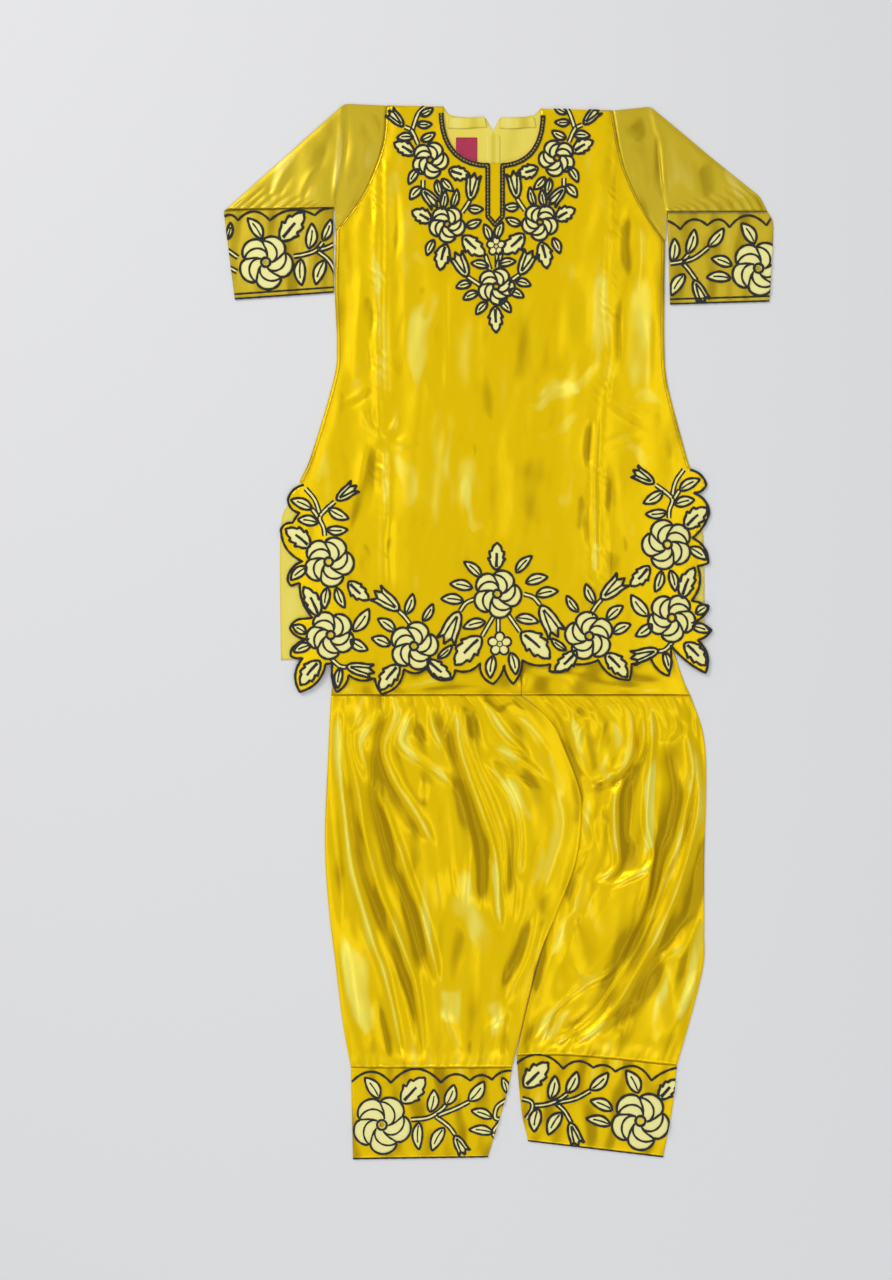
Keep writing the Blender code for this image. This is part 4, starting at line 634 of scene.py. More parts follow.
def puckered(across, down):
    """The princess seams: a soft groove, and bursts of short slanting puckers that die out to both sides."""
    height, painted_shading = np.zeros(np.shape(across)), np.zeros(np.shape(across))
    for number, path in enumerate(PRINCESS_SEAMS):
        line = curve_through(from_chart(np.reshape(path, (-1, 2))), 8)
        distance, along = near_line(across, down, line, 3 * SEAM_REACH)
        run = along * length_of(line)
        slant = run + 0.9 * distance + 4.0 * ripple(across, down, 31.0, 1.0, 12)
        wave = np.sin(2 * math.pi * slant / 17.0 + 2.3 * np.sin(run / 23.0 + number))
        wave += 0.7 * np.sin(2 * math.pi * slant / 10.7 + 1.9 * np.sin(run / 41.0 + 2 * number))
        close = np.exp(-((distance / SEAM_REACH) ** 2)) * smooth(along / 0.06) * smooth((1 - along) / 0.03)
        burst = np.clip(0.45 + 0.75 * np.sin(run / 33.0 + 1.3 * number) * np.sin(run / 13.0 + 0.7), 0.12, 1)
        groove = np.exp(-((distance / 4.0) ** 2)) * (distance < 1e5)
        height += 0.26 * wave * close * burst - 0.6 * groove
        # Painted light and shade: the puckers painted lighter and darker with their wave, and the groove painted darker
        # as a painted shade.
        painted_shading += 0.15 * wave * close * burst - 0.12 * groove
    return height, painted_shading


def belt_lift(across, down):
    """How high the tunic's underside is carried: over the trousers' belt, and down to the surface beside it."""
    left = np.interp(down, [p[1] for p in BELT_LEFT], [p[0] for p in BELT_LEFT])
    right = np.interp(down, [p[1] for p in BELT_RIGHT], [p[0] for p in BELT_RIGHT])
    outside = np.maximum.reduce([left - across, across - right, BELT_TOP - down, 0 * down])
    return (TWO_PLIES + LAYER_GAP) * (1 - smooth((outside - 2) / BELT_SLOPE))


def neck_lift(across, down):
    """The front rises a little over the label and the back opening's edge."""
    lift = 1.4
    for value, (low, high) in ((across, (-100.0, 60.0)), (down, (5.0, 160.0))):
        lift = lift * smooth((value - low) / 30.0) * smooth((high - value) / 30.0)
    return lift


def back_top(across, down):
    """The height of the back panel's upper side."""
    return belt_lift(across, down) + PLY


def embroidered(across, down):
    """1 where the front is stiff with embroidery, and 0 in plain cloth, with a soft change between."""
    neck = 1 - smooth((np.hypot((across + 3) / 1.15, down - 110) - 105) / 45)
    yoke = neck * (down < 320)
    hem_from = np.where(np.abs(across - 4) > 170, 540.0, 690.0) - 60 * np.exp(-(((across - 4) / 70) ** 2))
    return np.clip(yoke + smooth((down - hem_from) / 50), 0, 1)


def front_surface(across, down):
    """The height and the painted light and shade of the front panel's upper side.

    It lies on the back panel and rises with it over the belt. Charted creases, seam puckers and a soft
    unevenness stand on that, and all three die out where the embroidery stiffens the cloth.
    """
    sloping = smooth(belt_lift(across, down) / LAYER_GAP)
    base = back_top(across, down) + LAYER_GAP * (1 + sloping) + neck_lift(across, down) + PLY
    crease_height, crease_painted_shading = creased(across, down, TUNIC_CREASES)
    pucker_height, pucker_painted_shading = puckered(across, down)
    soft = 1 - 0.85 * embroidered(across, down)
    rim = side_calm(across, down)
    broad = ripple(across, down, 95.0, 2.4, 3) * 0.8 + ripple(across, down, 38.0, 3.0, 4) * 0.28
    wrinkled = 0.17 * ripple(across, down, 27.0, 1.5, 14) * smooth(ripple(across, down, 120.0, 1.5, 15) + 0.6)
    height = (crease_height * np.sqrt(rim) + (broad + wrinkled) * rim) * soft + pucker_height * np.maximum(soft, 0.25)
    height = np.where(height > -0.7, height, -0.7 - 0.5 * (1 - np.exp((height + 0.7) / 0.5)))
    # Painted light and shade: the creases and seam puckers painted lighter and darker, the charted painted lights and
    # shades, soft random patches, and a painted shade that darkens the cloth towards the armholes and sides.
    painted_flat_lights = lights(across, down, TUNIC_PAINTED_LIGHTS)
    painted_shading = 0.46 + 0.30 * crease_painted_shading * soft + 0.5 * pucker_painted_shading + 0.34 * painted_flat_lights
    painted_shading = painted_shading + 0.11 * ripple(across, down, 58.0, 1.7, 8) + 0.06 * ripple(across, down, 24.0, 1.8, 9)
    return base + height + FRONT_REST * (0.15 + 0.85 * rim), painted_shading - 0.16 * (1 - rim) ** 3


def side_calm(across, down):
    """0 on the armholes and sides, where the seam holds the front down, and 1 from 22 mm inside them."""
    calm = np.ones(np.shape(across))
    for line in (ARMHOLE_LEFT, ARMHOLE_RIGHT, SIDE_LEFT, SIDE_RIGHT):
        distance, _ = near_line(across, down, curve_through(line, 6), 24.0)
        calm = np.minimum(calm, smooth(np.abs(distance) / 22.0))
    return calm


def front_neck(count):
    """The front neck edge from the left shoulder round to the right one: a superellipse of power 2.6."""
    turn = np.linspace(math.pi, 0, count)
    across = NECK_CENTRE + NECK_HALF_WIDTH * np.sign(np.cos(turn)) * np.abs(np.cos(turn)) ** (2 / NECK_POWER)
    down = NECK_DEPTH * np.sin(turn) ** (2 / NECK_POWER)
    return np.stack([across, down + shoulder_down(across)], axis=1)


def shoulder_down(across):
    """How far down the shoulder line is: it slopes a little to the right."""
    share = (across - SHOULDER_LEFT[0]) / (SHOULDER_RIGHT[0] - SHOULDER_LEFT[0])
    return SHOULDER_LEFT[1] + share * (SHOULDER_RIGHT[1] - SHOULDER_LEFT[1])


def cutwork_edge():
    """The front's cutwork edge, from the left slit round the hem to the right slit, as swelling stretches."""
    halves = []
    for rows, outwards in ((CUTWORK_LEFT, 1), (CUTWORK_RIGHT, -1)):
        half = [np.array([rows[0][:2]])]
        for across, down, swell in rows[1:]:
            half.append(swelling(half[-1][-1], (across, down), outwards * swell, SWELL_STEPS))
        halves.append(np.vstack(half))
    return np.vstack([halves[0], halves[1][-2::-1]])


def front_outline():
    """All round the front: neck, right shoulder, armhole and side, cutwork hem, and up the left."""
    right = np.vstack([curve_through(ARMHOLE_RIGHT, 16), curve_through(SIDE_RIGHT, 20)[1:]])
    left = np.vstack([curve_through(ARMHOLE_LEFT, 16), curve_through(SIDE_LEFT, 20)[1:]])
    return np.vstack([front_neck(70), right, cutwork_edge()[-2::-1], left[::-1]])


def back_outline():
    """All round the back: the shallow neck with its notch, then the same shoulders and sides, and a plain hem."""
    left_neck, right_neck = NECK_CENTRE - NECK_HALF_WIDTH, NECK_CENTRE + NECK_HALF_WIDTH
    neck = [
        (left_neck, shoulder_down(left_neck)), (left_neck + 8, BACK_NECK_DROP * 0.8),
        (left_neck + 22, BACK_NECK_DROP), (NOTCH_CENTRE - NOTCH_HALF_WIDTH, BACK_NECK_DROP + 3),
        (NOTCH_CENTRE, NOTCH_DROP), (NOTCH_CENTRE + NOTCH_HALF_WIDTH, BACK_NECK_DROP + 2),
        (right_neck - 22, BACK_NECK_DROP), (right_neck - 8, BACK_NECK_DROP * 0.8),
        (right_neck, shoulder_down(right_neck)),
    ]
    right = np.vstack([curve_through(ARMHOLE_RIGHT, 8), curve_through(SIDE_RIGHT, 9)[1:],
                       curve_through(BACK_SLIT_RIGHT, 7)[1:]])
    left = np.vstack([curve_through(ARMHOLE_LEFT, 8), curve_through(SIDE_LEFT, 9)[1:],
                      curve_through(BACK_SLIT_LEFT, 7)[1:]])
    hem = stepped(np.array([right[-1], left[-1]]), 9.0)[1:-1]
    return np.vstack([np.array(neck), right, hem, left[::-1]])


def inside(points, outline):
    """Which points lie inside the closed outline, by counting the edges that a ray from each one crosses."""
    following = np.roll(outline, -1, axis=0)
    x, y = points[:, :1], points[:, 1:]
    spans = (outline[:, 1] > y) != (following[:, 1] > y)
    rise = np.where(following[:, 1] == outline[:, 1], 1e-9, following[:, 1] - outline[:, 1])
    cut = outline[:, 0] + (y - outline[:, 1]) * (following[:, 0] - outline[:, 0]) / rise
    return (spans & (x < cut)).sum(axis=1) % 2 == 1


def grid_faces(rows, columns):
    """The four-sided faces of a grid of points that are numbered row by row."""
    a = np.arange(rows - 1)[:, None] * columns + np.arange(columns - 1)
    return np.stack([a, a + 1, a + columns + 1, a + columns], axis=-1).reshape(-1, 4)


def panel_plan(outline, spacing):
    """A flat cut as triangles: its outline, and a staggered grid inside it that stays off its edge."""
    low, high = outline.min(axis=0), outline.max(axis=0)
    row_step = spacing * math.sqrt(3) / 2
    rows = np.arange(math.floor(low[1] / row_step), math.ceil(high[1] / row_step) + 1)
    columns = np.arange(math.floor(low[0] / spacing), math.ceil(high[0] / spacing) + 1)
    grid_row, grid_column = np.meshgrid(rows, columns, indexing="ij")
    grid = np.stack([(grid_column + 0.5 * (grid_row % 2)) * spacing, grid_row * row_step], axis=-1).reshape(-1, 2)
    grid = grid[inside(grid, outline)]
    off, _ = beside(grid[:, 0], grid[:, 1], np.vstack([outline, outline[:1]]))
    grid = grid[np.abs(off) > spacing * 0.55]
    flat = np.vstack([outline, grid]) * (1, -1)
    rim = [(i, (i + 1) % len(outline)) for i in range(len(outline))]
    corners, _, triangles, *_ = delaunay_2d_cdt(flat.tolist(), rim, [], 1, 1e-4)
    corners = np.array([tuple(c) for c in corners])
    return corners[:, 0], -corners[:, 1], np.array(triangles)


def cut_off(mesh, start, end):
    """Cuts away what lies to the right of a line on the plan, as it runs, and closes what was cut open."""
    near, far = (placed(*point, 0.0) for point in (start, end))
    run = far - near
    outwards = (run[1], -run[0], 0.0)
    parts = [*mesh.verts, *mesh.edges, *mesh.faces]
    bmesh.ops.bisect_plane(mesh, geom=parts, dist=1e-7, plane_co=near, plane_no=outwards, clear_outer=True)
    bmesh.ops.holes_fill(mesh, edges=[edge for edge in mesh.edges if edge.is_boundary], sides=0)


def made_object(name, points, faces, materials, uv=None, painted_shading=None, material_index=None, clean=False, cuts=()):
    """One mesh object from arrays of points and faces, with its own UV map and its painted light and shade at each
    point.
    """
    mesh = bpy.data.meshes.new(name)
    mesh.from_pydata(np.asarray(points).reshape(-1, 3).tolist(), [], np.asarray(faces).tolist())
    for material in materials:
        mesh.materials.append(material)
    if uv is not None:
        corner = np.empty(len(mesh.loops), np.int32)
        mesh.loops.foreach_get("vertex_index", corner)
        layer = mesh.uv_layers.new(name="cloth")
        layer.data.foreach_set("uv", np.asarray(uv, np.float32).reshape(-1, 2)[corner].ravel())
    # The painted light and shade at each point, which the satin material turns into painted highlight and painted shade
    # colours.
    if painted_shading is not None:
        values = np.clip(np.asarray(painted_shading, np.float32).ravel(), 0, 1)
        mesh.attributes.new("painted_shading", "FLOAT", "POINT").data.foreach_set("value", values)
    if material_index is not None:
        mesh.polygons.foreach_set("material_index", np.asarray(material_index, np.int32))
    if clean:
        loose = bmesh.new()
        loose.from_mesh(mesh)
        bmesh.ops.remove_doubles(loose, verts=loose.verts, dist=WELD)
        bmesh.ops.dissolve_degenerate(loose, edges=loose.edges, dist=WELD)
        for start, end in cuts:
            cut_off(loose, start, end)
        bmesh.ops.recalc_face_normals(loose, faces=loose.faces)
        loose.to_mesh(mesh)
        loose.free()
    mesh.shade_smooth()
    mesh.update()
    made = bpy.data.objects.new(name, mesh)
    bpy.context.scene.collection.objects.link(made)
    return made


def walled(piece, thickness, backing=None):
    """Gives a cloth its wall below its upper side, with the second material on the inside where there is one."""
    wall = piece.modifiers.new("wall", "SOLIDIFY")
    wall.thickness = thickness * MM
    wall.offset = -1
    wall.use_even_offset = False
    if backing is not None:
        wall.material_offset = backing
    return piece


def dressed(piece, nodes=()):
    """Puts a piece on the suit's one body and hides the CAD nodes that it stands for."""
    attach(piece, "root")
    if nodes:
        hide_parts(*nodes)
    return piece


def patch(start, end, left, right, s, t):
    """The point of a Coons patch at s from start to end and t from left to right.

    Its sides follow the four curves, and the inside blends them, less the corners that both blends count.
    """
    def at(line, share):
        place_on = share * (len(line) - 1)
        low = np.minimum(place_on.astype(int), len(line) - 2)
        return line[low] + (place_on - low)[..., None] * (line[low + 1] - line[low])

    s1, t1 = s[..., None], t[..., None]
    sides = (1 - t1) * at(left, s) + t1 * at(right, s)
    mouths = (1 - s1) * at(start, t) + s1 * at(end, t)
    corners = ((1 - s1) * ((1 - t1) * start[0] + t1 * start[-1]) + s1 * ((1 - t1) * end[0] + t1 * end[-1]))
    return sides + mouths - corners


def flat_tube(name, curves, surface, grid, finish, overhang=None):
    """A tube of cloth pressed flat: rings of the patch's width, folded over at both sides.

    A ring runs left to right on the upper side, rolls over the right side in a half circle, comes back flat on
    the floor and rolls up the left side. The upper side's height is the given surface. The grid says how many
    steps run down the tube and how many points lie across its upper side.
    """
    rows, columns = grid
    start, end, left, right = curves
    width = float(np.linalg.norm(spaced(left, 2)[1] - spaced(right, 2)[1]))
    roll = FOLD_RADIUS / width
    turn = np.linspace(0, math.pi, 9)[1:-1]
    under = max(6, columns // 3)
    t_ring = np.concatenate([np.linspace(roll, 1 - roll, columns), 1 - roll + roll * np.sin(turn),
                             np.linspace(1 - roll, roll, under), roll - roll * np.sin(turn)])
    level = np.concatenate([np.ones(columns), np.cos(turn), -np.ones(under), -np.cos(turn)])
    s, t = np.meshgrid(np.linspace(0, 1, rows + 1), t_ring, indexing="ij")
    plan = patch(start, end, left, right, s, t)
    upper, painted_shading = surface(plan[..., 0], plan[..., 1], s, t)
    height = UNDERSIDE + (upper - UNDERSIDE) * (level + 1) / 2
    if overhang is not None:
        plan[..., 0] += overhang(s) * smooth((t - 0.9) / 0.1) * smooth((level + 0.3) / 0.5)
    size = len(t_ring)
    i, j = np.meshgrid(np.arange(rows), np.arange(size), indexing="ij")
    a, b = i * size + j, i * size + (j + 1) % size
    faces = np.stack([a, a + size, b + size, b], axis=-1).reshape(-1, 4)
    uv = np.stack(np.broadcast_arrays(np.linspace(0, 2 * width, size) * MM, (s * LEG_LENGTH) * MM), axis=-1)
    points = placed(plan[..., 0], plan[..., 1], height)
    piece = made_object(name, points, faces, [finish_of(finish)], uv=uv, painted_shading=painted_shading)
    if piece.data.polygons[rows // 2 * size + columns // 2].normal.z < 0:
        piece.data.flip_normals()
    return walled(piece, TUBE_WALL)


def hex_colour(code):
    """An sRGB hex colour turned to linear, channel by channel, with 1 for alpha."""
    srgb = np.array([int(code[i:i + 2], 16) for i in (1, 3, 5)]) / 255
    linear = np.where(srgb <= 0.04045, srgb / 12.92, ((srgb + 0.055) / 1.055) ** 2.4)
    return (*linear.tolist(), 1.0)


def add_node(tree, kind, settings=None, links=None):
    """Adds a node, sets its fields and sockets by name or number, and links its inputs from other sockets."""
    made = tree.nodes.new(kind)
    for name, value in (settings or {}).items():
        if isinstance(name, int) or name in made.inputs:
            made.inputs[name].default_value = value
        else:
            setattr(made, name, value)
    for name, source in (links or {}).items():
        tree.links.new(source, made.inputs[name])
    return made


def noise(tree, scale, detail, where):
    """The value of a noise texture at a place."""
    return add_node(tree, "ShaderNodeTexNoise", {"Scale": scale, "Detail": detail}, {"Vector": where}).outputs["Fac"]


def bumped(tree, height, strength, distance, below=None):
    """The normal of a bump, laid over another bump where there is one."""
    links = {"Height": height, "Normal": below} if below else {"Height": height}
    return add_node(tree, "ShaderNodeBump", {"Strength": strength, "Distance": distance}, links).outputs[0]


def blended(tree, share, first, second):
    """Two colours mixed by a share. Each is a linear colour or a socket."""
    mix = add_node(tree, "ShaderNodeMix", {"data_type": "RGBA"}, {0: share})
    for socket, colour in ((6, first), (7, second)):
        if isinstance(colour, bpy.types.NodeSocket):
            tree.links.new(colour, mix.inputs[socket])
        else:
            mix.inputs[socket].default_value = colour
    return mix.outputs[2]


def spread(tree, value, **ends):
    """A value mapped from one range to another, which the ends name by From or To and Min or Max."""
    kind = ends.pop("kind", "LINEAR")
    named = {key.replace("_", " ").title(): end for key, end in ends.items()}
    return add_node(tree, "ShaderNodeMapRange", {"interpolation_type": kind, **named}, {"Value": value}).outputs[0]


def new_material(name):
    """An empty material with a Principled shader: the material, its tree and the shader."""
    made = bpy.data.materials.new(name)
    made.use_nodes = True
    return made, made.node_tree, made.node_tree.nodes["Principled BSDF"]


def satin_material(name, body, light, painted_shade, gloss, metal):
    """Polyester satin, woven with long warp floats: a soft metallic sheen, with its colour painted from a painted shade
    through its body to a painted highlight by each point's painted light and shade.
    """
    made, tree, shader = new_material(name)
    where = add_node(tree, "ShaderNodeTexCoord").outputs["Object"]
    # A cloudy mottle of painted sheen, about 60 mm across, as pressed satin shows, added to the painted light and shade
    # that each point of the cloth has.
    cloud = noise(tree, 16.0, 1.0, where)
    shifted = add_node(tree, "ShaderNodeMath", {"operation": "MULTIPLY_ADD", 1: 0.32, 2: -0.16}, {0: cloud})
    painted_shading = add_node(tree, "ShaderNodeAttribute", {"attribute_name": "painted_shading"}).outputs["Fac"]
    total = add_node(tree, "ShaderNodeMath", {"operation": "ADD"}, {0: painted_shading, 1: shifted.outputs[0]}).outputs[0]
    # The sum picks the colour: low values paint the shade colour, middle ones the body colour and high ones the
    # highlight colour.
    low = spread(tree, total, from_min=0.08, from_max=0.44, kind="SMOOTHSTEP")
    high = spread(tree, total, from_min=0.53, from_max=0.94, kind="SMOOTHSTEP")
    colour = blended(tree, high, blended(tree, low, painted_shade, body), light)
    tree.links.new(colour, shader.inputs["Base Color"])
    # Warp floats, drawn 1.2 mm wide and 14 mm long because the real 0.1 mm threads are too fine to show.
    stretched = add_node(tree, "ShaderNodeMapping", {"Scale": (830.0, 70.0, 200.0)}, {"Vector": where}).outputs[0]
    floats = noise(tree, 1.0, 2.0, stretched)
    # Slight crumples, about 30 mm and 9 mm across, break the reflections into patches.
    bump = bumped(tree, floats, 0.06, 0.00006)
    bump = bumped(tree, noise(tree, 110.0, 1.0, where), 0.20, 0.0005, bump)
    bump = bumped(tree, noise(tree, 32.0, 1.0, where), 0.28, 0.002, bump)
    tree.links.new(bump, shader.inputs["Normal"])
    tree.links.new(spread(tree, floats, to_min=gloss - 0.01, to_max=gloss + 0.02), shader.inputs["Roughness"])
    shader.inputs["Metallic"].default_value = metal
    shader.inputs["Specular IOR Level"].default_value = 0.7
    # The painted highlight colour also tints the real specular reflection.
    shader.inputs["Specular Tint"].default_value = light
    return made


def thread_material(name, colour, second, pitch, gloss, depth):
    """Thread laid side by side: fine ridges across the motif that follow its own UV map, with a painted shade in the
    grooves between them and random darker patches.
    """
    made, tree, shader = new_material(name)
    uv = add_node(tree, "ShaderNodeUVMap", {"uv_map": "cloth"}).outputs[0]
    # A wave's bands repeat every 0.314 units of its scale, and the map is in millimetres.
    wave = add_node(tree, "ShaderNodeTexWave", {"Scale": 0.314 / pitch, "Distortion": 1.2, "Detail": 1.0,
                                                "bands_direction": "X"}, {"Vector": uv}).outputs["Fac"]
    where = add_node(tree, "ShaderNodeTexCoord").outputs["Object"]
    # The wave's grooves are painted in the second, darker colour as a painted shade, and random patches of it come from
    # the noise.
    both = add_node(tree, "ShaderNodeMath", {"operation": "MULTIPLY"}, {0: wave, 1: noise(tree, 120.0, 2.0, where)})
    share = spread(tree, both.outputs[0], from_max=0.45)
    tree.links.new(blended(tree, share, second, colour), shader.inputs["Base Color"])
    tree.links.new(bumped(tree, wave, 0.6, depth), shader.inputs["Normal"])
    shader.inputs["Roughness"].default_value = gloss
    shader.inputs["Sheen Weight"].default_value = 0.2
    return made


MATERIALS = {}
FINISHES = {
    # Satin's face: deep gold, then a painted highlight colour and a painted shade colour for its lustre. These colours
    # are the defaults of the cloth's settings.
    "gold satin": (satin_material, "#F3CB00", "#FDED60", "#B49000", 0.28, 0.30),
    # The sleeves are a thinner satin, so the light floor under them dulls the gold. Its painted highlight and painted
    # shade colours follow.
    "thin gold satin": (satin_material, "#CFB428", "#E9D668", "#A68C10", 0.34, 0.28),
    # Satin's back: short threads, so it is paler and dull, with its painted highlight and painted shade colours.
    "satin reverse": (satin_material, "#EFDC5C", "#F5E880", "#D6C040", 0.62, 0.0),
    # Polyester sewing thread in the seams, a shade darker than the cloth.
    "dark gold thread": (thread_material, "#A98500", "#8A6A00", 2.4, 0.5, 0.0002),
    # Cream rayon, laid flat as fill.
    "cream rayon fill": (thread_material, "#FFFBA6", "#FBF094", 0.7, 0.5, 0.00015),
    # Black rayon cord, laid as outline.
    "black rayon cord": (thread_material, "#15120E", "#080706", 1.4, 0.5, 0.0005),
    # Old gold metallic thread, the middle of the neck braid.
    "old gold thread": (thread_material, "#C9AE3C", "#7A651C", 1.0, 0.4, 0.0004),
    # Woven polyester label: close even weave, no print.
    "magenta woven polyester": (thread_material, "#C4144E", "#A30C3E", 0.6, 0.55, 0.0002),
}


def finish_of(name):
    """The named finish, made once for the whole suit."""
    if name not in MATERIALS:
        maker, *values = FINISHES[name]
        values = [hex_colour(value) if isinstance(value, str) else value for value in values]
        if name == "gold satin":
            cloth = bpy.context.scene.suit_cloth
            values[:3] = [tuple(colour) for colour in (cloth.body_colour, cloth.painted_highlight_colour, cloth.painted_shade_colour)]
        MATERIALS[name] = maker(name, *values)
    return MATERIALS[name]


def colour_setting(name, description, code):
    """A colour setting with a hex default."""
    return bpy.props.FloatVectorProperty(name=name, description=description, subtype="COLOR", size=4, min=0, max=1,
                                         default=hex_colour(code))


def size_setting(name, description, default, low, high):
    """A length setting in metres."""
    return bpy.props.FloatProperty(name=name, description=description, default=default, min=low, max=high,
                                   unit="LENGTH")


class SuitClothSettings(bpy.types.PropertyGroup):
    """The cloth's thickness and the satin's colours: its own colour, its painted highlight colour and its painted shade
    colour.
    """

    thickness: size_setting("Cloth thickness", "Thickness that the satin is drawn with", 0.0008, 0.0002, 0.002)
    body_colour: colour_setting("Satin", "Colour of the satin in even light", FINISHES["gold satin"][1])
    painted_highlight_colour: colour_setting("Satin lights", "Colour where the satin catches the light", FINISHES["gold satin"][2])
    painted_shade_colour: colour_setting("Satin shades", "Colour where the satin loses the light", FINISHES["gold satin"][3])


class SuitEmbroiderySettings(bpy.types.PropertyGroup):
    """Sizes of the embroidery's cords."""

    outline_width: size_setting("Outline width", "Width of the black cord round each motif", 0.0042, 0.001, 0.006)
    vein_width: size_setting("Vein width", "Width of the finer cord inside leaves and buds", 0.0034, 0.0006, 0.005)


class SuitStageSettings(bpy.types.PropertyGroup):
    """The floor and the light."""

    floor_colour: colour_setting("Floor colour", "Colour of the plain floor", "#E9E9EA")
    light_power: bpy.props.FloatProperty(
        name="Light power", description="Power of the main soft light", default=62.0, min=0, max=500, unit="POWER")


class SUIT_OT_back_panel(bpy.types.Operator):
    """Builds the tunic's back panel"""

    bl_idname = "suit.back_panel"
    bl_label = "Back panel"

    def execute(self, context):
        """The back lies flat on the floor and rises over the belt, with its paler inside up."""
        outline = back_outline()
        across, down, triangles = panel_plan(outline, BACK_SPACING)
        soft = ripple(across, down, 60.0, 2.0, 21)
        height = back_top(across, down) + 0.25 * (1 + soft) * smooth((110 - down) / 20)
        # The back's painted light and shade follows the same soft ripple as its height.
        piece = made_object("back_panel", placed(across, down, height), triangles,
                            [finish_of("satin reverse"), finish_of("gold satin")],
                            uv=np.stack([across, down], axis=1) * MM, painted_shading=0.5 + 0.25 * soft)
        walled(piece, PLY * 0.95, backing=1)
        dressed(piece, ["kameez_back"])
        return {"FINISHED"}


class SUIT_OT_front_panel(bpy.types.Operator):
    """Builds the tunic's front panel with its creases"""

    bl_idname = "suit.front_panel"
    bl_label = "Front panel"

    def execute(self, context):
        """The front is its cut with the creased surface's height at each point."""
        outline = front_outline()
        across, down, triangles = panel_plan(outline, PANEL_SPACING)
        height, painted_shading = front_surface(across, down)
        piece = made_object("front_panel", placed(across, down, height), triangles, [finish_of("gold satin")],
                            uv=np.stack([across, down], axis=1) * MM, painted_shading=painted_shading)
        walled(piece, context.scene.suit_cloth.thickness / MM)
        dressed(piece, ["kameez_front"])
        seams = Stitches(front_height)
        for armhole, inset in ((ARMHOLE_LEFT, 3.4), (ARMHOLE_RIGHT, -3.4)):
            seams.cord(curve_through(armhole, 12) + (inset, 0.0), 0.45, lift=0.15, step=3.0)
        for side, inset in ((SIDE_LEFT, 5.0), (SIDE_RIGHT, -5.0)):
            seams.cord(curve_through(side, 12) + (inset, 0.0), 0.4, lift=0.0, step=3.5)
        seams.made("front_seams", "satin", (), ("dark gold thread",))
        return {"FINISHED"}


def along_armhole(points, outwards):
    """The armhole's line, moved outwards by the seam's gap."""
    return spaced(curve_through(points, 16), 90) + (outwards, 0.0)


class SUIT_OT_sleeves(bpy.types.Operator):
    """Builds both sleeves and their cuffs"""

    bl_idname = "suit.sleeves"
    bl_label = "Sleeves and cuffs"

    def execute(self, context):
        """Each sleeve is a flat tube gathered into its cuff, with a pressed fold from the shoulder."""
        rows = (
            ("left", ARMHOLE_LEFT, SLEEVE_OUTER_LEFT, SLEEVE_UNDER_LEFT, CUFF_LEFT_EDGES, SLEEVE_LEFT_CREASES, -1),
            ("right", ARMHOLE_RIGHT, SLEEVE_OUTER_RIGHT, SLEEVE_UNDER_RIGHT, CUFF_RIGHT_EDGES, SLEEVE_RIGHT_CREASES, 1),
        )
        for side, armhole, outer, under, edges, creases, sign in rows:
            start = along_armhole(armhole, sign * SEAM_GAP)
            # The end runs along the cuff and back up to the armhole's foot.
            corner = start[-1] + 0.04 * (np.array(under) - start[-1])
            curves = (start, spaced([outer[-1], under, corner], 90), spaced([start[0], *outer[1:]], 40),
                      np.array([start[-1], corner]))
            surface = sleeve_surface(np.array([outer[1], under], float), creases, sign)
            sleeve = flat_tube(f"sleeve_cloth_{side}", curves, surface, SLEEVE_GRID, "thin gold satin")
            dressed(sleeve, [f"sleeve_{side}"])
            left_edge, right_edge = (spaced(curve_through(edge, 12), 24) for edge in edges)
            curves = (*(np.array([left_edge[i], right_edge[i]]) for i in (0, -1)), left_edge, right_edge)
            cuff = flat_tube(f"sleeve_cuff_cloth_{side}", curves, cuff_surface(40 + sign), CUFF_GRID,
                             "thin gold satin")
            dressed(cuff, [f"sleeve_cuff_{side}"])
        return {"FINISHED"}


def sleeve_surface(pressed, creases, sign):
    """A sleeve's upper side: higher outside its pressed fold, creased, and gathered towards the cuff seam."""
    def surface(across, down, s, t):
        distance, _ = beside(across, down, pressed)
        outside = distance * -sign
        height = TWO_PLIES + 1.7 * smooth((outside + 3) / 6) * smooth((90 - outside) / 60)
        crease_height, painted_shading = creased(across, down, creases)
        wave = np.cos(2 * math.pi * (t * GATHERS_PER_SLEEVE + 0.35 * np.sin(t * 9.0)))
        gathers = smooth((s - 0.68) / 0.32) ** 2 * smooth((0.84 - t) / 0.06)
        edge = smooth(t / 0.05) * smooth((1 - t) / 0.05)
        soft = ripple(across, down, 42.0, 1.5, 31)
        puffed = crease_height + 0.8 * (1 + wave) * gathers + 0.35 * soft
        height = height + edge * (0.1 + (0.7 + puffed) * smooth(s / 0.14)) * smooth((1.02 - s) / 0.04)
        # Painted light and shade: the creases' painted highlights and shades, the gathers painted lighter and darker
        # with their wave, random patches, a painted shade in the cuff seam at the tube's end, and the charted painted
        # lights and shades.
        painted_tone = 0.48 + 0.3 * painted_shading + 0.22 * wave * gathers + 0.10 * soft - 0.5 * smooth((s - 0.985) / 0.015)
        painted_tone = painted_tone + 0.36 * lights(across, down, SLEEVE_PAINTED_LIGHTS)
        return height, painted_tone

    return surface


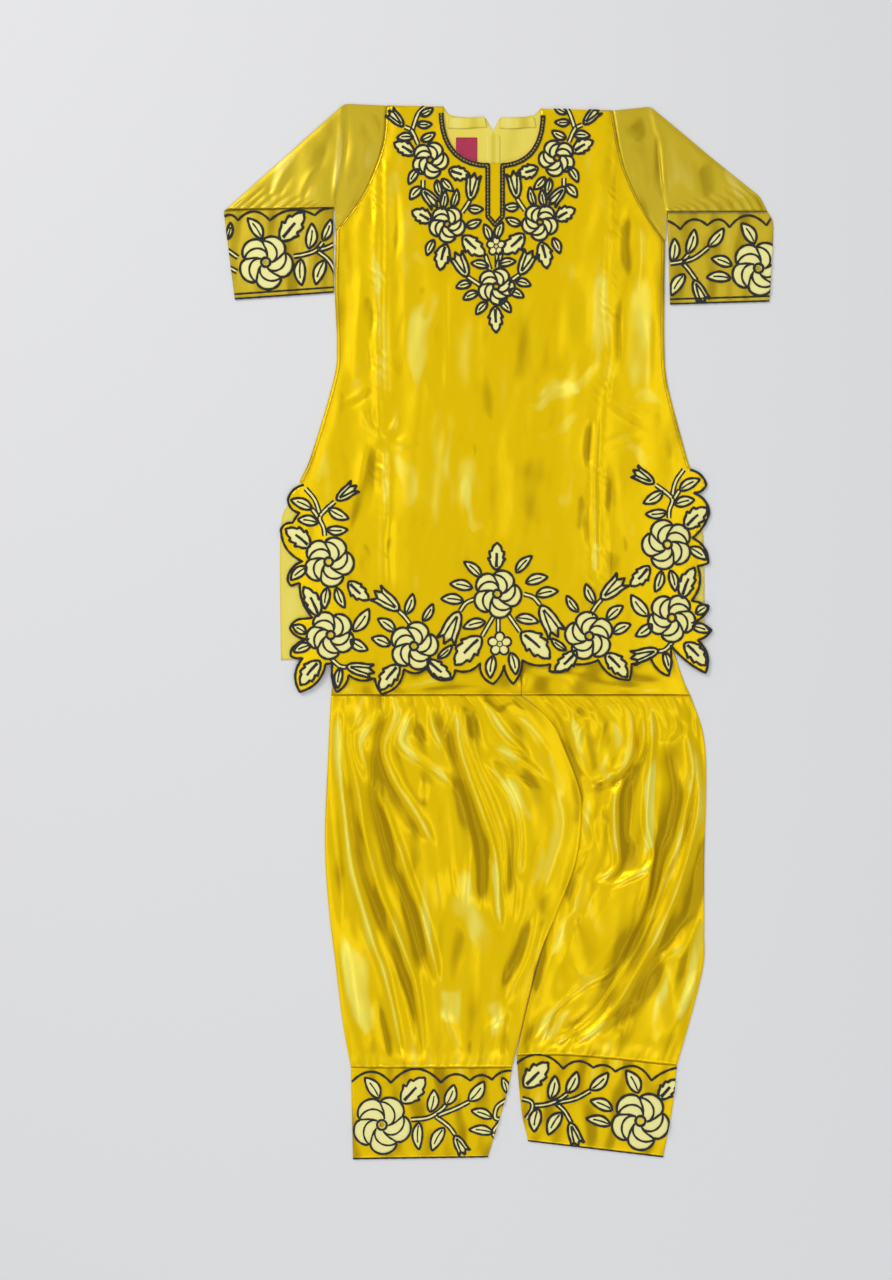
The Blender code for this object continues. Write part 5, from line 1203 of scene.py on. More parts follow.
def cuff_surface(seed):
    """A cuff's upper side: smooth and stiff, with a faint unevenness that dies out at its edges."""
    def surface(across, down, s, t):
        soft = ripple(across, down, 55.0, 1.2, seed)
        fade = smooth(t / 0.06) * smooth((1 - t) / 0.06) * smooth(s / 0.08) * smooth((1 - s) / 0.08)
        # Painted light and shade: a low value that paints the cuff darker than the body, with random lighter and darker
        # patches.
        painted_tone = 0.34 + 0.18 * soft + 0.20 * ripple(across, down, 30.0, 1.6, seed + 1)
        return TWO_PLIES + (0.30 * (1 + soft) + 0.12 * ripple(across, down, 26.0, 1.5, seed + 2)) * fade, painted_tone

    return surface


def belt_surface(across, down, s, t):
    """The belt's upper side: plain under the tunic, and rumpled where it shows below the tunic's hem."""
    shown = smooth((down - 842) / 12) * smooth((BELT_FOOT - down) / 5)
    creases, painted_shading = creased(across, down, BELT_CREASES)
    soft = ripple(across, down, 48.0, 0.5, 51)
    # Painted light and shade: a low value that paints the belt darker, as a painted shade below the tunic's hem, the
    # creases painted lighter and darker, random patches, and a little lighter beyond 60 mm from 120 mm across.
    painted_tone = 0.29 + 0.9 * painted_shading + 0.20 * soft + 0.12 * smooth((np.abs(across - 120) - 60) / 60)
    return TWO_PLIES + shown * (0.9 + creases + 0.5 * soft), painted_tone


def gathered(place_on, width, from_seam, count, reach, seed):
    """Small pleats that run down from a seam: each a narrow ridge of its own length, lean and height."""
    random = np.random.default_rng(seed)
    total = np.zeros(np.shape(place_on))
    for number in range(count):
        middle = (number + 0.5 + random.uniform(-0.38, 0.38)) / count
        long = reach * random.uniform(0.3, 1.0) ** 1.3
        lean = random.uniform(-0.20, 0.20) * from_seam
        thick = random.uniform(2.2, 4.2) * (1 + 1.2 * from_seam / reach)
        distance = (place_on - middle) * width - lean
        total += random.uniform(0.5, 1.0) * np.exp(-((distance / thick) ** 2)) * smooth(1 - from_seam / long)
    return total


def streaks(flow, s, count, seed):
    """Long fine folds along the flow lines: cosine waves across them, sharpened to crests by a power of e."""
    random = np.random.default_rng(seed)
    total = np.zeros(np.shape(flow))
    for _ in range(6):
        pitch, phase, sway = random.uniform(0.7, 1.7) * count, random.uniform(0, 6.3), random.uniform(0.6, 1.6)
        wave = np.cos(2 * math.pi * flow * pitch + phase + sway * np.sin(5 * s + phase))
        strong = 0.5 + 0.5 * np.sin(random.uniform(3, 8) * s + random.uniform(0, 6.3) + 9 * flow)
        total += strong * np.exp(2.2 * (wave - 1))
    return total - 0.9


def leg_surface(creases, seed, side):
    """A leg's upper side: lofted, pleated from the belt and gathered at the ankle.

    The loft fades to the sides and both seams, and the left leg's inner side stands up over the right leg. Charted
    creases stand on it, then fine folds between them, short pleats below the belt, gathers above the ankle and a
    soft unevenness.
    """
    def surface(across, down, s, t):
        sides = smooth(t / 0.16) * smooth((1 - t) / 0.16)
        near = smooth(t / 0.035) * smooth((1 - t) / 0.035)
        ends = smooth(s / 0.05) * smooth((1 - s) / 0.06)
        crease_height, painted_shading = creased(across, down, creases)
        from_ankle = (1 - s) * LEG_LENGTH
        from_belt = s * LEG_LENGTH
        if side == "left":
            flow, squeeze = t - 0.29 * s * np.sqrt(np.clip(1 - t, 0, 1)), 1.0
        else:
            squeeze = 1 - 0.78 * smooth((s - 0.25) / 0.75)
            flow = t / squeeze
        fine = streaks(flow, s, 7.0 if side == "left" else 4.0, seed + 2) * squeeze
        gathers = gathered(t, 250.0, from_ankle, 26, GATHER_REACH, seed + 3)
        pleats = gathered(t, 280.0, from_belt, 19, PLEAT_REACH, seed + 4)
        soft = ripple(across - 0.25 * down, down, 46.0, 3.0, seed)
        height = LEG_LOFT * sides * (0.35 + 0.65 * ends)
        height = height + near * (1.35 * crease_height + 0.7 * soft + 0.28 * fine) * (0.2 + 0.8 * ends)
        height = height + near * (1.2 * gathers * smooth(from_ankle / 3) + 1.4 * pleats * smooth(from_belt / 3))
        height = np.where(height > 0.5, height, 0.5 * np.exp((height - 0.5) / 0.5))
        # On the right leg a painted shadow darkens its inner edge, where the left leg's edge lies over it.
        if side == "right":
            painted_overlap_shadow = 0.32 * np.exp(-((t * 250.0 / 13.0) ** 2)) * smooth((s - 0.02) / 0.1) * smooth((0.9 - s) / 0.2)
        else:
            painted_overlap_shadow = 0.0
            lip = smooth((t - 0.62) / 0.38) * smooth((s - 0.03) / 0.08) * smooth((0.985 - s) / 0.12)
            height = height + 3.4 * lip * (1 - 0.5 * sides)
        # Painted light and shade: the creases' painted highlights and shades, random patches, long bands of painted
        # sheen along the flow, the charted painted lights and shades, the gathers and pleats painted lighter on their
        # ridges, and a painted shade within 20 mm of the ankle seam and 30 mm of the belt seam.
        painted_sheen_drift = ripple(flow * squeeze * 380.0 + 0.12 * down, 0.35 * down, 52.0, 1.0, seed + 6)
        painted_tone = (0.44 if side == "left" else 0.42) + 0.34 * painted_shading + 0.06 * soft + 0.02 * fine + 0.17 * painted_sheen_drift
        painted_tone = painted_tone + 0.43 * lights(across, down, LEG_PAINTED_LIGHTS) + 0.16 * (gathers - 0.4 * smooth(1 - from_ankle / 20))
        painted_tone = painted_tone + 0.16 * (pleats - 0.4 * smooth(1 - from_belt / 30))
        return TWO_PLIES + height, painted_tone - painted_overlap_shadow

    return surface


def leg_overhang(s):
    """How far the left leg's bulge lies over the right leg, in millimetres, from its belt to its ankle."""
    return 7.0 * smooth((s - 0.03) / 0.1) * smooth((0.72 - s) / 0.3)


class SUIT_OT_trousers(bpy.types.Operator):
    """Builds the trousers: belt, both legs and the ankle cuffs"""

    bl_idname = "suit.trousers"
    bl_label = "Trousers"

    def execute(self, context):
        """The belt runs up under the tunic, and each leg is pleated into it and gathered into its cuff."""
        left, right = (spaced(curve_through(side, 12), 24) for side in (BELT_LEFT, BELT_RIGHT))
        curves = (np.array([BELT_LEFT[0], BELT_RIGHT[0]]), np.array([BELT_LEFT[-1], BELT_RIGHT[-1]]), left, right)
        belt = flat_tube("belt", curves, belt_surface, BELT_GRID, "gold satin")
        dressed(belt, ["salwar_belt"])
        seam = Stitches(cuff_height)
        seam.cord(from_chart(((521.5, 640), (521, 694))), 0.7, step=3.0)
        seam.made("belt_seam", "satin", (), ("dark gold thread",))
        legs = (
            ("left", curve_through(LEG_OUTER_LEFT, 12), curve_through(LEG_INNER_LEFT, 12), ANKLE_SEAM_LEFT,
             ANKLE_SIDES_LEFT, LEFT_LEG_CREASES, 61),
            ("right", curve_through(LEG_INNER_RIGHT, 12) + (2 * SEAM_GAP, 0), curve_through(LEG_OUTER_RIGHT, 12),
             ANKLE_SEAM_RIGHT, ANKLE_SIDES_RIGHT, RIGHT_LEG_CREASES, 71),
        )
        for side, left, right, seam, cuff_sides, creases, seed in legs:
            end = spaced(np.vstack([left[-1:], curve_through(seam, 12)[1:-1], right[-1:]]), 60)
            curves = (np.array([left[0], right[0]]), end, spaced(left, 120), spaced(right, 120))
            leg = flat_tube(f"leg_cloth_{side}", curves, leg_surface(creases, seed, side), LEG_GRID, "gold satin",
                            leg_overhang if side == "left" else None)
            dressed(leg, [f"leg_{side}"])
            top = end + (0.0, SEAM_GAP)
            edges = [spaced(curve_through((tuple(corner), *edge), 12), 24)
                     for corner, edge in zip((top[0], top[-1]), cuff_sides)]
            curves = (top, np.array([edge[-1] for edge in edges]), *edges)
            cuff = flat_tube(f"ankle_cuff_cloth_{side}", curves, cuff_surface(seed + 5), ANKLE_GRID, "gold satin")
            dressed(cuff, [f"ankle_cuff_{side}"])
        return {"FINISHED"}


class Stitches:
    """Gathers the cords and pads of one group of motifs, in millimetres, until they are made into one piece.

    The outline is the radius of the cord round a motif, and veins gives that of the finer cords inside each kind.
    """

    def __init__(self, height_of, outline=0.0, veins=None):
        self.height_of, self.outline, self.veins = height_of, outline, veins
        self.points, self.faces, self.uv, self.kinds = [], [], [], []
        self.count = 0

    def add(self, across, down, height, faces, uv, kind):
        """Adds a patch of points, in the order that its faces number them."""
        points = placed(across, down, height).reshape(-1, 3)
        self.points.append(points)
        self.uv.append(np.asarray(uv, float).reshape(-1, 2))
        self.faces.append(np.asarray(faces).reshape(-1, 4) + self.count)
        self.kinds.append(np.full(len(self.faces[-1]), kind))
        self.count += len(points)

    def cord(self, line, radius, closed=False, step=1.9, lift=0.55, kind=0):
        """A cord along a line: a flattened ring of six points at each place, with closed ends.

        The ring's across axis is square to the line on the plan, and its other axis is straight up.
        """
        line = np.asarray(line, float)
        line = stepped(np.vstack([line, line[:1]]), step)[:-1] if closed else stepped(line, step)
        side = square_to(line, closed)
        count = len(line)
        gone = gone_along(line)
        width = radius * (1 + 0.10 * np.sin(gone / 2.3 + line[0, 0]))
        turn = np.linspace(0, 2 * math.pi, 6, endpoint=False) + math.pi / 6
        ring = line[:, None] + side[:, None] * (width[:, None] * np.cos(turn))[..., None]
        middle = self.height_of(line[:, 0], line[:, 1])
        height = middle[:, None] + lift + radius * 0.85 * np.sin(turn)
        uv = np.stack(np.broadcast_arrays(gone[:, None] + 0 * turn, turn), axis=-1)
        rows = np.arange(count if closed else count - 1)[:, None]
        a, b = rows * 6 + np.arange(6), rows * 6 + (np.arange(6) + 1) % 6
        c, d = (rows + 1) % count * 6 + (np.arange(6) + 1) % 6, (rows + 1) % count * 6 + np.arange(6)
        faces = np.stack([a, b, c, d], axis=-1).reshape(-1, 4)
        if not closed:
            last = (count - 1) * 6
            faces = np.vstack([faces, (0, 1, 2, 3), (0, 3, 4, 5), (last, last + 3, last + 2, last + 1),
                               (last, last + 5, last + 4, last + 3)])
        self.add(ring[..., 0], ring[..., 1], height, faces, uv, kind)

    def fill(self, plan, inner, uv, rise=FILL_RISE, round_about=False):
        """A pad of laid thread over a grid of plan points: domed above, flat and sunk below, closed round its edge.

        The dome's height is the rise times the square root of how far each point is inside, from 0 at the edge.
        A pad that runs round about has its walls on its inner and outer ring only.
        """
        rows, columns = plan.shape[:2]
        count = rows * columns
        foot = self.height_of(plan[..., 0].ravel(), plan[..., 1].ravel()).reshape(rows, columns)
        top = foot + FILL_EDGE + rise * np.sqrt(np.clip(inner, 0, 1))
        upper = grid_faces(rows, columns)
        if round_about:
            outer = count - columns + np.arange(columns - 1, -1, -1)
            rim = np.concatenate([np.arange(columns - 1), outer[:-1]])
            following = np.concatenate([np.arange(1, columns), outer[1:]])
        else:
            rim = np.concatenate([np.arange(columns), (np.arange(1, rows) + 1) * columns - 1,
                                  count - columns + np.arange(columns - 2, -1, -1),
                                  np.arange(rows - 2, 0, -1) * columns])
            following = np.roll(rim, -1)
        wall = np.stack([rim, rim + count, following + count, following], axis=1)
        both = np.concatenate([plan.reshape(-1, 2)] * 2)
        height = np.concatenate([top.ravel(), foot.ravel() - FILL_SINK])
        self.add(both[:, 0], both[:, 1], height, np.vstack([upper, upper[:, ::-1] + count, wall]),
                 np.concatenate([uv.reshape(-1, 2)] * 2), 1)

    def leaf(self, row, jagged=False, bend=0.0):
        """A leaf from base to tip: its half width is sin(pi q to the 0.85) to the 0.8, with teeth when jagged."""
        base, length, ahead, side = row_frame(row)
        half = row[4] * CHART_STEP / 2 - self.outline * 0.4

        def at(q, s, width):
            bow = bend * length * 4 * q * (1 - q)
            return base + ahead * (q * length)[..., None] + side * (s * width + bow)[..., None]

        def half_width(q, teeth):
            body = half * np.sin(math.pi * np.clip(q, 0, 1) ** 0.85) ** 0.8
            if not teeth:
                return body
            saw = (q * 4.2 + 0.15) % 1.0
            return body * (1 + 0.42 * (saw - 0.5) * smooth((q - 0.22) / 0.1) * smooth((1.0 - q) / 0.12))

        q = np.linspace(0, 1, 44 if jagged else 16)
        width = half_width(q, jagged)
        rim = np.vstack([at(q, np.ones_like(q), width), at(q[-2:0:-1], -np.ones(len(q) - 2), width[-2:0:-1])])
        self.cord(rim, self.outline, closed=True, step=1.3 if jagged else 1.8)
        q, s = np.meshgrid(np.linspace(0.01, 0.99, 12), np.linspace(-1, 1, 7), indexing="ij")
        self.fill(at(q, s, half_width(q, False)), (1 - s**2) * np.sin(math.pi * q),
                  np.stack([q * length, s * half], axis=-1))
        reach = np.linspace(0.10, 0.62 if jagged else 0.72, 6)
        if jagged:
            for off in (-0.9, 0.9):
                self.cord(at(reach, np.full(6, off), np.linspace(1.0, 0.4, 6)), self.veins["jagged"], lift=1.0)
        else:
            self.cord(at(reach, np.zeros(6), np.ones(6)), self.veins["leaf"] * 0.8, lift=1.1)

    def bud(self, row):
        """A tulip bud from base to tip: it widens to an open end with three points, and two lines run inside it."""
        base, length, ahead, side = row_frame(row)
        width = row[4] * CHART_STEP

        def at(points):
            points = np.asarray(points, float)
            return base + ahead * (points[..., :1] * length) + side * (points[..., 1:] * width)

        upper = curve_through([(0.0, 0.05), (0.14, 0.26), (0.42, 0.40), (0.72, 0.42), (0.98, 0.50)], 5)
        crown = [(0.98, 0.50), (0.80, 0.22), (1.04, 0.03), (0.80, -0.20), (0.96, -0.50)]
        lower = curve_through([(0.96, -0.50), (0.70, -0.42), (0.42, -0.38), (0.14, -0.24), (0.0, -0.05)], 5)
        self.cord(at(np.vstack([upper[:-1], crown, lower[1:]])), self.outline, closed=True, step=1.6)
        q, s = np.meshgrid(np.linspace(0.02, 0.86, 10), np.linspace(-1, 1, 7), indexing="ij")
        half = np.interp(q, (0, 0.14, 0.42, 0.72, 1.0), (0.06, 0.24, 0.38, 0.42, 0.46))
        self.fill(at(np.stack([q, s * half], axis=-1)), (1 - s**2) * np.sin(math.pi * q / 0.88).clip(0, 1),
                  np.stack([q * length, s * width / 2], axis=-1))
        for sign in (-1, 1):
            inner = curve_through([(0.14, 0.02 * sign), (0.46, 0.13 * sign), (0.78, 0.20 * sign)], 5)
            self.cord(at(inner), self.veins["bud"], lift=1.0)

    def stem(self, points):
        """A stem: a narrow cream pad between two fine cords that run side by side."""
        line = stepped(curve_through(from_chart(np.reshape(points, (-1, 2))), 8), STEM_STEP)
        side = square_to(line)
        for sign in (-1, 1):
            self.cord(line + side * STEM_HALF * sign, self.veins["stem"])
        s = np.linspace(-1, 1, 4)
        plan = line[:, None] + side[:, None] * (s[None, :, None] * STEM_HALF)
        uv = np.stack(np.broadcast_arrays(np.arange(len(line))[:, None] * STEM_STEP, s[None] * STEM_HALF), axis=-1)
        self.fill(plan, np.broadcast_to(1 - s**2, plan.shape[:2]), uv, rise=0.35)

    def flower(self, across, down, radius, turn, sign=1.0):
        """A pinwheel flower of five petals round a ring, on a chart's place and radius.

        Each petal's edge is radius (0.77 + 0.24 sin(pi q) to the 0.65) over its 72 degrees, its fold curls from the
        notch to the ring, and a short line parts it from the next petal.
        """
        at = around(across, down, turn, sign)
        radius = radius * CHART_STEP
        vein = self.veins["flower"]

        def lobe(q):
            return radius * (0.77 + 0.24 * np.sin(math.pi * q) ** 0.65)

        q = np.linspace(0, 1, 12, endpoint=False)
        self.cord(np.vstack([at(lobe(q), 72 * k + 72 * q) for k in range(5)]), self.outline, closed=True, step=1.7)
        r, a = np.meshgrid(np.linspace(0.10, 1.0, 9), np.linspace(0, 360, 61), indexing="ij")
        spiral = ((a - 30 * (1 - r)) / 72) % 1.0
        puff = (0.35 + 0.65 * np.sin(math.pi * spiral) ** 0.6) * np.sqrt(np.clip(1.02 - r, 0, 1)) * 1.2
        self.fill(at(r * (lobe((a / 72) % 1.0) - 0.4), a), puff * np.clip(r / 0.2, 0, 1),
                  np.stack([r * radius, np.radians(a) * radius * 0.5], axis=-1), rise=0.9, round_about=True)
        inner, part = np.linspace(0.04, 0.96, 11), np.linspace(0, 1, 5)
        for k in range(5):
            self.cord(at(radius * (0.80 - 0.58 * inner**1.6), 72 * k + 100 * inner), vein, lift=1.0)
            self.cord(at(radius * (0.80 - 0.58 * part), 72 * k + 28 * part**1.5), vein, lift=1.0)
        ring = np.linspace(0, 360, 14, endpoint=False)
        self.cord(at(radius * 0.17 + 0 * ring, ring), vein * 1.25, closed=True, step=1.4, lift=1.3)

    def small_flower(self, across, down, radius):
        """A small flower of five round petals: its edge is radius (0.6 + 0.4 |cos| to the 0.7), round a ring."""
        at = around(across, down, -90)
        radius = radius * CHART_STEP

        def lobe(degrees):
            return radius * (0.60 + 0.40 * np.abs(np.cos(np.radians(degrees * 2.5))) ** 0.7)

        degrees = np.linspace(0, 360, 60, endpoint=False)
        self.cord(at(lobe(degrees), degrees), self.veins["leaf"], closed=True, step=1.4)
        r, a = np.meshgrid(np.linspace(0.10, 1.0, 6), np.linspace(0, 360, 41), indexing="ij")
        self.fill(at(r * (lobe(a) - 0.4), a), 1 - r**2, np.stack([r * radius, a * 0.1], axis=-1), round_about=True)
        part = np.linspace(0.25, 0.6, 3)
        for k in range(5):
            self.cord(at(radius * part, 36 + 72 * k + 0 * part), 0.9, lift=1.0)
        ring = degrees[::6]
        self.cord(at(radius * 0.24 + 0 * ring, ring), 1.0, closed=True, step=1.2, lift=1.1)

    def sprays(self, chart, leaf_bend, jagged_bend, mirror=None):
        """Works a chart's leaves, buds and stems, mirrored where there is a mirror."""
        for kind, bend in (("leaves", leaf_bend), ("jagged", jagged_bend)):
            for row in chart[kind]:
                self.leaf(reflected(row, mirror), kind == "jagged", bend)
        for row in chart["buds"]:
            self.bud(reflected(row, mirror))
        for row in chart["stems"]:
            self.stem(reflected(row, mirror))

    def made(self, name, slot_name, nodes, kinds, cuts=()):
        """Makes the gathered stitches into one piece, with a material for each kind of thread."""
        piece = made_object(name, np.vstack(self.points), np.vstack(self.faces), [finish_of(k) for k in kinds],
                            uv=np.vstack(self.uv), material_index=np.concatenate(self.kinds), clean=True, cuts=cuts)
        return dressed(piece, nodes)


def row_frame(row):
    """A chart row from base to tip: its base, its length and the directions ahead and to its right."""
    base, tip = from_chart(row[:2]), from_chart(row[2:4])
    length = np.linalg.norm(tip - base)
    ahead = (tip - base) / length
    return base, length, ahead, np.array([-ahead[1], ahead[0]])


def around(across, down, turn, sign=1.0):
    """What turns a distance and degrees round a chart place into plan points."""
    centre = from_chart((across, down))

    def at(r, degrees):
        facing = np.radians(turn + sign * np.asarray(degrees))
        return centre + np.stack([r * np.cos(facing), r * np.sin(facing)], axis=-1)

    return at


THREADS = ("black rayon cord", "cream rayon fill")


def front_height(across, down):
    """The height of the front panel's upper side, without its lustre."""
    return front_surface(np.asarray(across, float), np.asarray(down, float))[0]


def to_chart(points):
    """Millimetres of the lay plan turned back to chart steps."""
    return np.asarray(points, float) / CHART_STEP + CHART_ORIGIN


def neck_mirror(points):
    """Chart points mirrored to the right side of the neck: about 4 mm left of the middle, and 3 mm up."""
    plan = from_chart(points)
    return to_chart(np.stack([-8 - plan[..., 0], plan[..., 1] - 3], axis=-1))


def hem_mirror(points):
    """Chart points mirrored to the right side of the hem, which lies turned by a twelfth of a radian."""
    plan = from_chart(points)
    across = 12 - plan[..., 0]
    return to_chart(np.stack([across + 0.085 * (plan[..., 1] - 760), plan[..., 1] - 4 - 0.085 * (across - 6)], axis=-1))


def reflected(row, mirror):
    """A chart row with its points mirrored. An odd number at its end is a width, and stays."""
    if mirror is None:
        return row
    count = len(row) // 2 * 2
    return (*mirror(np.reshape(row[:count], (-1, 2)).astype(float)).ravel(), *row[count:])


def both_sides(context, chart, mirror, turn_right):
    """Works a chart on the front, on the left side as drawn and on the right side mirrored."""
    sizes = context.scene.suit_embroidery
    outline, vein = (round(width / MM / 2, 3) for width in (sizes.outline_width, sizes.vein_width))
    work = Stitches(front_height, outline,
                    {"leaf": vein, "jagged": vein, "bud": vein, "flower": vein + 0.1, "stem": vein - 0.3})
    for across, down, radius, turn in chart["flowers"]:
        work.flower(across, down, radius, turn)
        work.flower(*mirror((across, down)), radius, 180 - turn + turn_right, sign=-1.0)
    work.sprays(chart, 0.05, 0.04)
    work.sprays(chart, -0.05, -0.04, mirror)
    return work


class SUIT_OT_neck_embroidery(bpy.types.Operator):
    """Embroiders the front round its neck"""

    bl_idname = "suit.neck_embroidery"
    bl_label = "Neck embroidery"

    def execute(self, context):
        """Works the neck chart on both sides and the motifs on the middle line."""
        work = both_sides(context, NECK_CHART, neck_mirror, 0.0)
        work.leaf((495, 307, 496, 333, 14), jagged=True)
        work.stem((497, 256, 497, 268))
        work.flower(496, 287, 18.5, -30)
        work.small_flower(496, 247, 9.5)
        nodes = [f"neck_flower_{place}" for place in ("left_1", "left_2", "right_1", "right_2", "centre", "bud")]
        work.made("neck_embroidery", "embroidery_thread", nodes, THREADS, cuts=[(SHOULDER_RIGHT, SHOULDER_LEFT)])
        return {"FINISHED"}


class SUIT_OT_hem_embroidery(bpy.types.Operator):
    """Embroiders the front's hem and its cutwork edge"""

    bl_idname = "suit.hem_embroidery"
    bl_label = "Hem embroidery"

    def execute(self, context):
        """Works the hem chart on both sides and the middle, and lays a cord along the cutwork edge."""
        work = both_sides(context, HEM_CHART, hem_mirror, 5.0)
        work.leaf((496, 570, 497, 543, 16), jagged=True)
        work.stem((498, 617, 498, 633))
        work.flower(497, 594, 24, -30)
        work.small_flower(499.5, 644, 12)
        work.cord(cutwork_edge(), 2.0, lift=-0.1, step=2.0)
        nodes = [f"hem_flower_{side}_{number}" for side in ("left", "right") for number in (1, 2, 3)]
        work.made("hem_embroidery", "embroidery_thread", [*nodes, "hem_flower_centre", "hem_flower_bud"], THREADS)
        return {"FINISHED"}


def cuff_height(across, down):
    """The height of a cuff's upper side where embroidery is laid on it."""
    return np.full(np.shape(across), TWO_PLIES + 0.25)


class SUIT_OT_cuff_embroidery(bpy.types.Operator):
    """Embroiders the sleeve cuffs and the ankle cuffs"""

    bl_idname = "suit.cuff_embroidery"
    bl_label = "Cuff embroidery"

    def execute(self, context):
        """Works each cuff's own chart, with its scalloped cord above and its black piping at the hem."""
        edges = {"sleeve_left": CUFF_LEFT_EDGES, "sleeve_right": CUFF_RIGHT_EDGES}
        for side, seam, sides in (("left", ANKLE_SEAM_LEFT, ANKLE_SIDES_LEFT),
                                  ("right", ANKLE_SEAM_RIGHT, ANKLE_SIDES_RIGHT)):
            edges[f"ankle_{side}"] = ((seam[0], *sides[0]), (seam[-1], *sides[1]))
        for name, chart in CUFF_CHARTS.items():
            outline = round(context.scene.suit_embroidery.outline_width / MM / 2, 3) - chart["thinner"]
            work = Stitches(cuff_height, outline, {kind: outline * share for kind, share in CUFF_VEINS.items()})
            for row in chart["flowers"]:
                work.flower(*row)
            work.sprays(chart, 0.06, 0.0)
            scallops = [from_chart(chart["scallops"][0][:2])[None]]
            for across, down, swell in chart["scallops"][1:]:
                scallops.append(swelling(scallops[-1][-1], from_chart((across, down)), -swell * CHART_STEP, 10))
            work.cord(np.vstack(scallops), 1.9)
            left_edge, right_edge = edges[name]
            rim = [*left_edge, *right_edge[::-1]]
            node = name.replace("sleeve", "cuff_flower").replace("ankle", "ankle_flower")
            work.made(f"{name}_embroidery", "embroidery_thread", [node], THREADS, cuts=list(zip(rim[:-1], rim[1:])))
            hem = Stitches(cuff_height)
            start, end = np.array(left_edge[-1], float), np.array(right_edge[-1], float)
            hem.cord([start, end], 1.6, lift=-1.1, step=3.0)
            if name.startswith("sleeve"):
                hem.cord([start - (0.4, 6.5), end - (-0.4, 6.5)], 1.5, lift=0.1, step=3.0)
            hem.made(f"{name}_piping", "embroidery_thread", (), ("black rayon cord",))
        return {"FINISHED"}


def braid_path():
    """The middle line of the neck braid: round the left of the neck, down and up the placket, round the right."""
    half = NECK_HALF_WIDTH + BRAID_INSET
    depth = NECK_DEPTH + BRAID_INSET
    turn = np.linspace(math.pi - 0.06, math.pi / 2, 40)
    from_centre = half * np.abs(np.cos(turn)) ** (2 / NECK_POWER)
    down = depth * np.sin(turn) ** (2 / NECK_POWER)
    sides = []
    for sign in (-1, 1):
        inner = PLACKET_CENTRE + sign * (PLACKET_HALF_WIDTH + 2)
        across = NECK_CENTRE + sign * from_centre
        line = np.stack([across, down + shoulder_down(across)], axis=1)
        sides.append(line[sign * (across - inner) > 0])
    left, right = PLACKET_CENTRE - PLACKET_HALF_WIDTH, PLACKET_CENTRE + PLACKET_HALF_WIDTH
    middle = [(left, depth + 1), (left, PLACKET_FOOT), (PLACKET_CENTRE, PLACKET_POINT), (right, PLACKET_FOOT),
              (right, depth + 1)]
    return np.vstack([sides[0], middle, sides[1][::-1]])


class SUIT_OT_neck_trims(bpy.types.Operator):
    """Builds the neck braid and what shows inside the back neck"""

    bl_idname = "suit.neck_trims"
    bl_label = "Neck trims"

    def execute(self, context):
        """The braid is two black cords with a beaded gold thread between them."""
        work = Stitches(front_height)
        line = stepped(braid_path(), 2.0)
        for off in (-2.6, 2.6):
            work.cord(line + square_to(line) * off, 1.35, step=1.6, lift=0.7)
        work.cord(line, 1.5, step=1.5, lift=0.35)
        gone = gone_along(line)
        for start in np.arange(1.0, gone[-1] - 4.0, BEAD_PITCH):
            at = np.linspace(start, start + BEAD_LENGTH, 4)
            bead = np.stack([np.interp(at, gone, line[:, 0]), np.interp(at, gone, line[:, 1])], axis=1)
            work.cord(bead, 1.15, step=1.1, lift=1.15, kind=1)
        work.made("braid", "braid", ["neck_braid"], ("black rayon cord", "old gold thread"))
        on_back = PLY + LAYER_GAP + 0.4
        top = BACK_NECK_DROP + 1.5
        for name, (near, far) in (("left", FACING_LEFT), ("right", FACING_RIGHT)):
            s, t = np.meshgrid(np.linspace(0, 1, 26), np.linspace(0, 1, 12), indexing="ij")
            across = near + 3 - 3 * t + s * (far - near - 6 + 6 * t)
            down = top + t * FACING_DEPTH + 0.8 * np.sin(s * 5)
            height = on_back + 0.5 + 1.1 * np.sqrt(np.sin(math.pi * np.clip(t, 0, 1)) + 0.02)
            height = height + 0.25 * np.sin(s * 9 + t * 3)
            # The facings are painted in bands of light and shade across them.
            facing = grid_piece(f"facing_{name}", across, down, height, "satin reverse", 0.5 + 0.3 * np.sin(s * 7))
            dressed(walled(facing, 0.6), [f"neck_facing_{name}"])
        s, t = np.meshgrid(np.linspace(0, 1, 10), np.linspace(0, 1, 34), indexing="ij")
        half = STAND_WIDTH / 2 * smooth(0.12 + t / 0.09)
        across = NOTCH_CENTRE + (2 * s - 1) * half
        down = NOTCH_DROP + 2 + t * (STAND_FOOT - NOTCH_DROP - 2)
        height = on_back + 0.3 + 0.5 * np.sqrt(np.clip(np.sin(math.pi * s), 0, 1))
        height = height - 0.4 * np.exp(-(((s - 0.5) / 0.06) ** 2))
        # The stand is painted in bands of light and shade across its width.
        stand = grid_piece("opening_stand", across, down, height, "satin reverse", 0.5 + 0.3 * np.cos(s * 6))
        dressed(walled(stand, 0.6), ["back_opening_stand"])
        s, t = np.meshgrid(np.linspace(0, 1, 16), np.linspace(0, 1, 20), indexing="ij")
        height = on_back + 0.45 + 0.5 * (2 * s - 1) ** 2 * smooth(t / 0.2) + 0.2 * np.sin(t * 4)
        label = grid_piece("blank_label", LABEL_AT[0] + s * LABEL_SIZE[0], LABEL_AT[1] + t * LABEL_SIZE[1], height,
                           "magenta woven polyester")
        dressed(walled(label, 0.5), ["neck_label"])
        return {"FINISHED"}


def grid_piece(name, across, down, height, finish, painted_shading=None):
    """A small cloth on a grid: columns run across and rows run down, with its upper side facing up."""
    piece = made_object(name, placed(across, down, height), grid_faces(*across.shape), [finish_of(finish)],
                        uv=np.stack([across, down], axis=-1), painted_shading=painted_shading)
    if piece.data.polygons[0].normal.z < 0:
        piece.data.flip_normals()
    return piece


